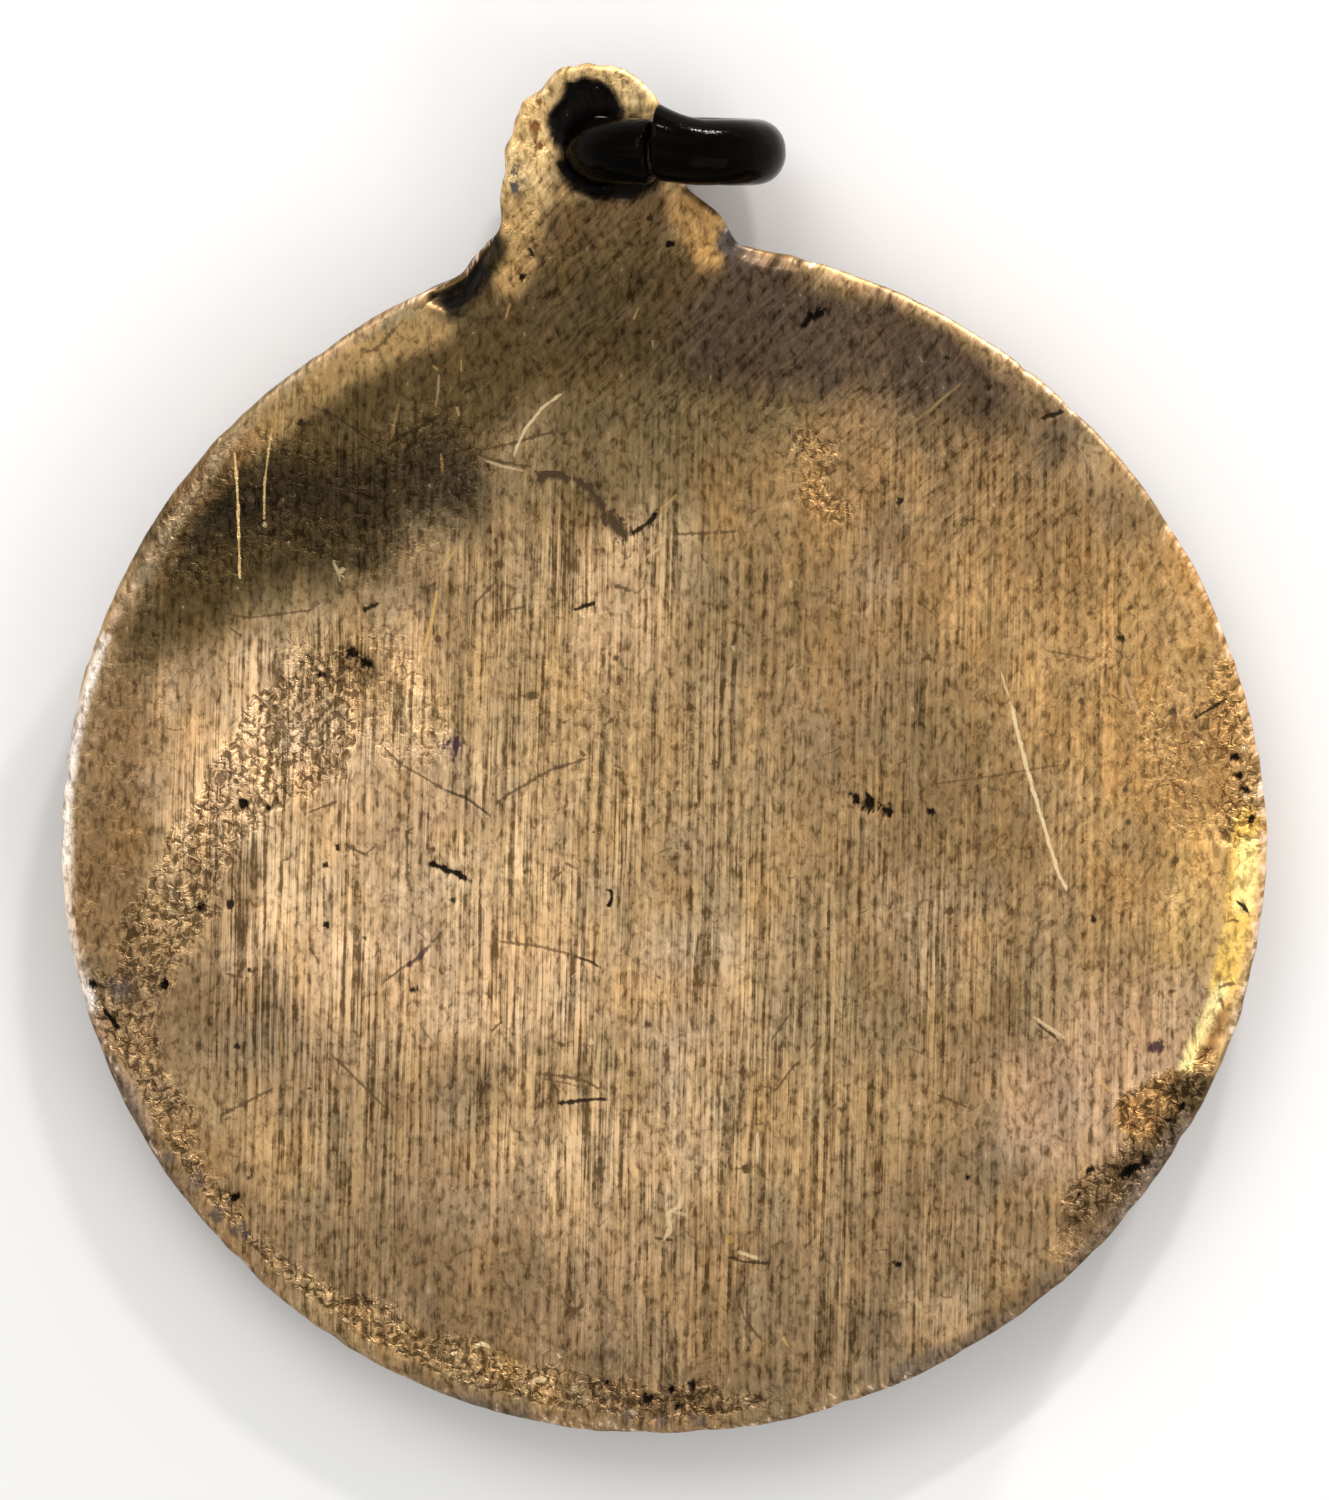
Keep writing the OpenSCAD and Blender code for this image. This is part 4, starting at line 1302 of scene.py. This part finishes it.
def brushedLinesGroup():
    # long parallel lines: a noise squeezed across the brushing and drawn out along it
    inputs = {"Place": None, "Turn": 0.0, "Across": 5.0, "Along": 0.15, "Detail": 2.0, "Contrast": 0.2}
    tree, given, out = startGroup("brushedLines", inputs, ["Lines"])
    spec = {"Vector": given["Place"], "Angle": given["Turn"]}
    about = addNode(tree, "ShaderNodeVectorRotate", spec, rotation_type="Z_AXIS").outputs[0]
    scale = addNode(tree, "ShaderNodeCombineXYZ", {"X": given["Across"], "Y": given["Along"]}).outputs[0]
    value = noiseValue(tree, stretched(tree, about, scale), 1.0, given["Detail"], 0.75)
    low = calc(tree, "SUBTRACT", 0.5, given["Contrast"])
    high = calc(tree, "ADD", 0.5, given["Contrast"])
    spec = {"Value": value, "From Min": low, "From Max": high}
    linkAll(tree, out, {"Lines": addNode(tree, "ShaderNodeMapRange", spec).outputs[0]})
    return tree


def markGroup():
    # a scratch or a spot: full inside one half width of its middle, with a limit made ragged by a noise
    inputs = {"Field": None, "Ragged": 0.0, "Strength": 1.0}
    tree, given, out = startGroup("mark", inputs, ["Mask"])
    away = addNode(tree, "ShaderNodeVectorMath", {0: given["Field"]}, operation="LENGTH").outputs["Value"]
    mask = rise(tree, calc(tree, "ADD", away, given["Ragged"]), 1.5, 0.5)
    linkAll(tree, out, {"Mask": calc(tree, "MULTIPLY", mask, given["Strength"])})
    return tree


def crumbledGroup():
    # crooked dark crevices and light grains from the two ends of one noise: few on sound metal, and more of
    # them as the ground is more crumbled; the crevices are partly their own dark colour and partly painted
    # shade, the grains' light partly a painted highlight
    inputs = {"Place": None, "Fineness": 5.0, "Amount": 0.0}
    tree, given, out = startGroup("crumbledGround", inputs, ["Dark", "Light", "Height"])
    value = noiseValue(tree, given["Place"], given["Fineness"], 2.0, 0.62, 0.5)
    darkLimit = calc(tree, "MULTIPLY_ADD", given["Amount"], -0.19, 0.70)
    lightLimit = calc(tree, "MULTIPLY_ADD", given["Amount"], 0.15, 0.22)
    deep = calc(tree, "MULTIPLY_ADD", given["Amount"], given["Amount"], 0.03)
    linkAll(tree, out, {
        "Dark": rise(tree, value, darkLimit, calc(tree, "ADD", darkLimit, 0.07)),
        "Light": rise(tree, value, lightLimit, calc(tree, "SUBTRACT", lightLimit, 0.07)),
        "Height": calc(tree, "MULTIPLY", calc(tree, "SUBTRACT", 0.5, value), deep),
    })
    return tree


def wornEdgeGroup():
    # bare metal along edges: the edge's own strength, broken up by a noise between 0 and 1
    inputs = {"Edge": 0.0, "Broken": 0.5, "Reach": 0.5}
    tree, given, out = startGroup("wornEdge", inputs, ["Mask"])
    total = calc(tree, "MULTIPLY_ADD", given["Edge"], given["Reach"], given["Broken"])
    linkAll(tree, out, {"Mask": rise(tree, total, 0.72, 0.98)})
    return tree


# Materials

def startMaterial(name, fixed):
    # a material whose constants are set on the shader's own sockets
    material = bpy.data.materials.new(name)
    material.use_nodes = True
    tree = material.node_tree
    shader = tree.nodes["Principled BSDF"]
    for label, value in fixed.items():
        shader.inputs[label].default_value = value
    return material, tree, shader.inputs


brass = {
    # brushed lines: degrees that they lean, squeeze across and along them, detail, contrast, and how far they
    # lighten and darken the colour, their light and dark partly the brushing's own tone and partly painted
    # sheen
    "upright": (1.5, 7.0, 0.2, 2.2, 0.13, 1.0),
    "slanted": (44.0, 7.5, 0.7, 1.6, 0.2, 0.45),
    "sides": (0.0, 6.0, 0.35, 2.0, 0.16, 0.24),   # the lines that run round the walls
    "patches": (0.65, 1.15),       # how weak and how strong the upright lines are from patch to patch
    "mottle": 0.95,
    "cloudy": 3.2,
    "crooked": (-0.08, 0.22),      # crooked light hairlines in the mottling: between them and along them
    "calm": -0.85,                 # what the calm walls and underside take off the mottling
    "dark": (0.30, 0.27, 0.22),    # what the colour is multiplied by in the deepest lines
    "light": (1.72, 1.76, 1.84),   # and on the brightest
    # crevices and grains: partly their own colours, and partly painted shade in the crevices and a painted
    # highlight on the grains
    "crevice": (0.22, 0.19, 0.14),  # and in the crevices of crumbled ground
    "grain": (1.75, 1.8, 1.9),     # and on its light grains
    "fineness": 5.2,               # of the crumbled ground
    "creviceShare": (0.68, 0.12),  # for pitting of 1, and more everywhere
    "grainShare": 0.75,
    "wornShare": 0.82,
    "wornReach": 0.42,
    "lineHeight": 0.010,           # millimetres, as the next two
    "mottleHeight": 0.003,
    "grainHeight": 0.14,
    "raggedMarks": 0.85,
    "roughness": 0.40,
    # the painted shade round the hole is made rougher and less metallic
    "rougher": {"pitted": 0.12, "edge": 0.3, "calm": -0.17, "hollowShade": 0.3},
    "metallic": 0.9,
    "hollowShadeMetallic": -0.7,
    "specular": 0.05,
}


def agedBrass():
    # painted colours, brushed lines, mottling, crumbled ground, worn edges and painted rim highlights, then
    # the single marks
    material, tree, shader = startMaterial("aged_brass", {"Specular IOR Level": brass["specular"]})
    at = attribute(tree, "skin")
    around = attribute(tree, "around")
    wash = attribute(tree, "wash", "Color")
    names = ("pitted", "upright", "slanted", "edge", "hollowShade", "calm")
    mask = {name: attribute(tree, name, "Fac") for name in names}
    mask["sides"] = addNode(tree, "ShaderNodeSeparateXYZ", {"Vector": around}).outputs["Z"]
    group = brushedLinesGroup()

    def brushed(kind, where):
        # the lines as values about 0, times how far they show there and their strength
        lean, across, along, detail, contrast, strength = brass[kind]
        spec = {"Turn": np.radians(lean), "Across": across, "Along": along, "Detail": detail}
        found = useGroup(tree, group, Place=where, Contrast=contrast, **spec)["Lines"]
        return calc(tree, "MULTIPLY", centred(tree, found), calc(tree, "MULTIPLY", mask[kind], strength))

    # a little slower along the brushing than across it
    fine = noiseValue(tree, stretched(tree, at, (1.0, 0.55, 1.0)), 5.4, 2.4, 0.66, 0.2)
    patches = rise(tree, noiseValue(tree, at, 0.8, 2.0, 0.6), 0.36, 0.62, brass["patches"])
    upLines = calc(tree, "MULTIPLY", brushed("upright", at), patches)
    lines = calc(tree, "ADD", calc(tree, "ADD", upLines, brushed("slanted", at)), brushed("sides", around))
    offMiddle = centred(tree, fine)
    crooked = rise(tree, calc(tree, "ABSOLUTE", offMiddle), 0.045, 0.0, brass["crooked"])
    mottle = calc(tree, "MULTIPLY_ADD", offMiddle, brass["cloudy"], crooked)
    mottle = calc(tree, "MULTIPLY", mottle, calc(tree, "MULTIPLY_ADD", mask["calm"], brass["calm"], 1.0))
    lift = calc(tree, "ADD", lines, 0.5)
    lift = calc(tree, "MULTIPLY_ADD", mottle, brass["mottle"] * 0.5, lift, clamp=True)
    shade = mixColours(tree, lift, (*brass["dark"], 1), (*brass["light"], 1))
    colour = mixColours(tree, 1.0, wash, shade, "MULTIPLY")

    ground = useGroup(tree, crumbledGroup(), Place=at, Fineness=brass["fineness"], Amount=mask["pitted"])
    share = calc(tree, "MULTIPLY_ADD", mask["pitted"], *brass["creviceShare"], clamp=True)
    share = calc(tree, "MULTIPLY", ground["Dark"], share)
    colour = mixColours(tree, share, colour, multiplied(tree, wash, brass["crevice"]))
    share = calc(tree, "MULTIPLY", ground["Light"], brass["grainShare"])
    colour = mixColours(tree, share, colour, multiplied(tree, wash, brass["grain"]))
    # bare metal at worn edges and the painted rim highlights, in one pale colour
    worn = useGroup(tree, wornEdgeGroup(), Edge=mask["edge"], Broken=fine, Reach=brass["wornReach"])["Mask"]
    share = calc(tree, "MULTIPLY", worn, brass["wornShare"])
    colour = mixColours(tree, share, colour, tuple(tinted("bareEdgeAndHighlight")))

    group = markGroup()
    ragged = calc(tree, "MULTIPLY", mottle, brass["raggedMarks"])
    for k in range(medal["layers"]):
        tint = addNode(tree, "ShaderNodeAttribute", attribute_name=f"markTint{k}").outputs
        made = useGroup(tree, group, Field=attribute(tree, f"mark{k}"), Ragged=ragged, Strength=tint["Alpha"])
        colour = mixColours(tree, made["Mask"], colour, tint["Color"])

    rough = brass["roughness"]
    for name, change in brass["rougher"].items():
        rough = calc(tree, "MULTIPLY_ADD", mask[name], change, rough)
    metal = calc(tree, "MULTIPLY_ADD", mask["hollowShade"], brass["hollowShadeMetallic"], brass["metallic"])
    height = calc(tree, "MULTIPLY", lines, brass["lineHeight"])
    height = calc(tree, "MULTIPLY_ADD", mottle, brass["mottleHeight"], height)
    height = calc(tree, "MULTIPLY_ADD", ground["Height"], brass["grainHeight"], height)
    normal = bumped(tree, height)
    linkAll(tree, shader, {"Base Color": colour, "Roughness": rough, "Metallic": metal, "Normal": normal})
    return material


bronze = {
    "roughness": 0.11,
    "roughChange": 0.12,
    "metallic": 0.0,
    "specular": 0.025,
    "reflection": (1.0, 0.9, 0.82, 1),
    "dark": [(0.0006, 0.0005, 0.0004, 1), (0.0018, 0.0012, 0.0008, 1)],
    "drawn": (0.006, 0.0036, 0.0024, 1),   # in the marks from drawing the wire
    "drawnShare": 0.3,
    "edge": (0.005, 0.003, 0.0018, 1),     # where it is rubbed
    "edgeShare": 0.45,
    "height": 0.006,
}


def blackBronze():
    # nearly black, glossy, with brown where it is rubbed and faint marks from drawing the wire
    material, tree, shader = startMaterial("black_bronze", {
        "Metallic": bronze["metallic"],
        "Specular IOR Level": bronze["specular"],
        "Specular Tint": bronze["reflection"],
    })
    along = attribute(tree, "wire")
    edge = attribute(tree, "edge", "Fac")
    drawn = noiseValue(tree, stretched(tree, along, (0.6, 5.0, 1.0)), 1.0, 2.0, 0.6)
    cloudy = noiseValue(tree, along, 1.1, 3.0, 0.6)
    specks = noiseValue(tree, along, 8.0, 2.0, 0.65)
    colour = mixColours(tree, rise(tree, cloudy, 0.35, 0.7), *bronze["dark"])
    share = calc(tree, "MULTIPLY", rise(tree, drawn, 0.5, 0.75), bronze["drawnShare"])
    colour = mixColours(tree, share, colour, bronze["drawn"])
    rubbed = useGroup(tree, bpy.data.node_groups["wornEdge"], Edge=edge, Broken=specks, Reach=0.3)["Mask"]
    colour = mixColours(tree, calc(tree, "MULTIPLY", rubbed, bronze["edgeShare"]), colour, bronze["edge"])
    rough = calc(tree, "MULTIPLY_ADD", centred(tree, specks), bronze["roughChange"], bronze["roughness"])
    height = calc(tree, "MULTIPLY", drawn, bronze["height"])
    normal = bumped(tree, calc(tree, "MULTIPLY_ADD", specks, bronze["height"], height))
    linkAll(tree, shader, {"Base Color": colour, "Roughness": rough, "Normal": normal})
    return material


# Jump ring

wire = {
    "squareness": 0.2,      # added to a round section's exponent away from the hole
    "around": 72,           # points round the section
    "along": 420,           # sections along the wire
    "shoulder": (0.2, 0.06),  # rounding of the left end and of the right end
    "offset": 0.24,         # how far the right end has sprung to the lug's tip
    "swell": 0.17,          # widening of the right end
    "swollen": 1.15,        # length of wire that this takes
    "dents": 0.006,
    "cap": (0.6, 0.25),     # sizes of the rings inside an end's face
}


def wireEnd(points, section, flip):
    # the face of one end: rings of points that shrink to its middle; returns points and faces
    centre = points[section].mean(0)
    m = len(section)
    rings = [section]
    for share in wire["cap"]:
        rings.append(np.arange(m) + len(points))
        points = np.vstack([points, centre + (points[section] - centre) * share])
    rings.append(np.full(m, len(points)))
    points = np.vstack([points, centre])
    faces = []
    for outer, inner in zip(rings[:-1], rings[1:]):
        after, innerAfter = np.roll(outer, -1), np.roll(inner, -1)
        faces.append(np.column_stack([outer, after, innerAfter]))
        faces.append(np.column_stack([outer, innerAfter, inner]))
    faces.pop()    # the last ring is a single point
    return points, [q[:, ::-1] if flip else q for q in faces]


def buildRing(material):
    # a squarish section carried round the ring's circle from the slit's left end to its right end
    size = ringSize
    middle = pose["ringMiddle"]
    radius = size["wire"] / 2
    first = np.radians(90 + size["slitFromTop"]) + size["slit"] / 2 / middle
    sweep = 2 * np.pi - size["slit"] / middle
    run = np.linspace(0, 1, wire["along"])
    run = np.sort(np.concatenate([run, 0.03 * run[1:60:3], 1 - 0.015 * run[1:60:3]]))
    theta = first + sweep * run
    arc = run * sweep * middle
    toRight = sweep * middle - arc
    shrink = np.ones(len(run))
    for gap, shoulder in zip((arc, toRight), wire["shoulder"]):
        inEnd = np.clip(1 - gap / shoulder, 0, 1)
        shrink -= (1 - np.sqrt(1 - inEnd ** 2)) * shoulder / radius
    awayFromHole = smooth(np.abs(np.degrees(theta - np.pi)) / 60 - 0.7)
    last = np.clip(1 - toRight / wire["swollen"], 0, 1) ** 1.7
    power = (2 + wire["squareness"] * awayFromHole)[:, None]
    phi = np.linspace(0, 2 * np.pi, wire["around"], endpoint=False)
    c, s = np.cos(phi), np.sin(phi)
    reach = (np.abs(c) ** power + np.abs(s) ** power) ** (-1 / power)
    reach = reach * (shrink * (1 + wire["swell"] * last))[:, None] * radius
    dented = noise(run[:, None] * 40 + 0 * phi, phi * 1.6 + 0 * run[:, None], 1.0, 200)
    reach = reach * (1 + wire["dents"] * dented * awayFromHole[:, None])
    outward = middle + reach * c
    x, z = outward * np.cos(theta)[:, None], outward * np.sin(theta)[:, None]
    y = reach * s + (wire["offset"] * last)[:, None]
    points = np.column_stack([x.ravel(), y.ravel(), z.ravel()])

    grid = np.arange(reach.size).reshape(reach.shape)
    here, after = grid[:-1], grid[1:]
    beside, afterBeside = np.roll(here, -1, axis=1), np.roll(after, -1, axis=1)
    corners = (here, beside, afterBeside), (here, afterBeside, after)
    faces = [np.column_stack([q.ravel() for q in three]) for three in corners]
    for section, flip in ((grid[0], True), (grid[-1], False)):
        points, cap = wireEnd(points, section, flip)
        faces += cap
    x, y, z = points.T
    y, z = turned(y, z, -size["lean"])
    x, y = turned(x, y + pose["ringY"] - size["hang"], -pose["lugTurn"])
    placed = np.column_stack([x, y - pose["middleY"], z + pose["ringZ"]]) / 1000

    # on the section's corners and at the wire's ends it is rubbed; the ends' faces keep the middle values
    edge = np.zeros(len(points))
    corner = np.abs(c * s)[None, :] * 1.2 * awayFromHole[:, None]
    edge[:grid.size] = np.maximum(corner, np.maximum(0, 1 - shrink * 1.02)[:, None] * 6).ravel()
    along = np.zeros((len(points), 3))
    along[:grid.size, 0] = np.repeat(arc, len(phi))
    along[:grid.size, 1] = np.abs(np.tile(phi, len(run)) * radius - np.pi * radius)
    return meshPiece("jump_ring_body", placed, np.vstack(faces), {"edge": edge, "wire": along}, material)


# The object

medalPiece = buildMedal(agedBrass())
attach(medalPiece, "root")
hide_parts("medal")
ringPiece = buildRing(blackBronze())
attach(ringPiece, "root")
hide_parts("jump_ring")

# Stage

studio = {
    "floorWidth": 8.0,
    "floor": [(0.72, 0.72, 0.72, 1), (0.75, 0.75, 0.745, 1)],
    "world": (0.90, 0.90, 0.90),
    "worldStrength": 0.88,
    # name, direction round from the picture's right, height above the floor, distance, width, depth,
    # power and colour
    "lights": [
        ("window", 118.0, 52.0, 0.6, 0.30, 0.30, 1.1, (1.0, 0.985, 0.97)),
        ("fillRight", -35.0, 40.0, 0.7, 0.40, 0.40, 0.9, (1.0, 0.97, 0.93)),
        ("highTop", 76.0, 35.5, 0.35, 0.034, 0.013, 0.36, (1.0, 0.95, 0.93)),
        ("lowTopRight", 60.0, 7.0, 0.35, 0.045, 0.02, 1.5, (1.0, 0.95, 0.93)),
    ],
    "cameraDistance": 1.5,
    "cameraLean": 3.25,    # degrees that the camera stands off upright, to the picture's top
    "pixelsPerMm": 40.1,
    "frameHeight": 1500,
    "frameMiddle": (664.5, 750.0),
    "sensor": 36.0,
    "clip": (0.01, 50),
}
upwards = Vector((0, 0, 1))


def pictureWays():
    # the picture's right and up on the floor, and the way to the camera
    a = np.radians(photo["lean"])
    right = Vector((np.cos(a), -np.sin(a), 0))
    up = Vector((np.sin(a), np.cos(a), 0))
    e = np.radians(studio["cameraLean"])
    return right, up, up * np.sin(e) + upwards * np.cos(e)


def addAimed(name, data, position, target, up):
    # a camera or light that looks at a point, with its own top towards up
    made = bpy.data.objects.new(name, data)
    bpy.context.scene.collection.objects.link(made)
    back = (position - target).normalized()
    side = up.cross(back).normalized()
    top = back.cross(side)
    matrix = made.matrix_world.copy()
    for k in range(3):
        matrix[k] = (side[k], top[k], back[k], position[k])
    made.matrix_world = matrix
    return made


def addFloor():
    # a pale flat square at height 0
    half = studio["floorWidth"] / 2
    mesh = bpy.data.meshes.new("floor")
    corners = [(-half, -half, 0), (half, -half, 0), (half, half, 0), (-half, half, 0)]
    mesh.from_pydata(corners, [], [(0, 1, 2, 3)])
    floor = bpy.data.objects.new("floor", mesh)
    bpy.context.scene.collection.objects.link(floor)
    material, tree, shader = startMaterial("paleFloor", {"Roughness": 0.9})
    at = addNode(tree, "ShaderNodeTexCoord").outputs["Object"]
    linkAll(tree, shader, {"Base Color": mixColours(tree, noiseValue(tree, at, 60.0, 3.0), *studio["floor"])})
    mesh.materials.append(material)


def addLights(right, up):
    # lights at their direction, height and distance, facing the middle of the floor, and a pale world
    for name, around, height, distance, width, depth, power, colour in studio["lights"]:
        lamp = bpy.data.lights.new(name, "AREA")
        lamp.shape = "RECTANGLE"
        lamp.size = width
        lamp.size_y = depth
        lamp.energy = power
        lamp.color = colour
        a, h = np.radians(around), np.radians(height)
        way = (right * np.cos(a) + up * np.sin(a)) * np.cos(h) + upwards * np.sin(h)
        addAimed(name, lamp, way * distance, Vector((0, 0, 0)), up + upwards * 0.01)
    world = bpy.data.worlds.new("studio")
    bpy.context.scene.world = world
    world.use_nodes = True
    background = world.node_tree.nodes["Background"]
    background.inputs["Color"].default_value = (*studio["world"], 1)
    background.inputs["Strength"].default_value = studio["worldStrength"]
    bpy.context.scene.view_settings.view_transform = "Standard"


def addCamera(right, toCamera):
    # the disc's middle lands on its pixel of the photograph
    discMiddle = Vector(place(np.zeros((1, 3)))[0])
    top = toCamera.cross(right).normalized()
    perMetre = studio["pixelsPerMm"] * 1000
    across, down = np.subtract(studio["frameMiddle"], photo["middle"]) / perMetre
    target = discMiddle + right * across - top * down
    data = bpy.data.cameras.new("camera")
    data.sensor_fit = "VERTICAL"
    data.sensor_height = studio["sensor"]
    data.lens = studio["sensor"] * studio["cameraDistance"] / (studio["frameHeight"] / perMetre)
    data.clip_start, data.clip_end = studio["clip"]
    position = target + toCamera * studio["cameraDistance"]
    bpy.context.scene.camera = addAimed("camera", data, position, target, top)


right, up, toCamera = pictureWays()
addFloor()
addLights(right, up)
addCamera(right, toCamera)
print("stage, lights and camera set")
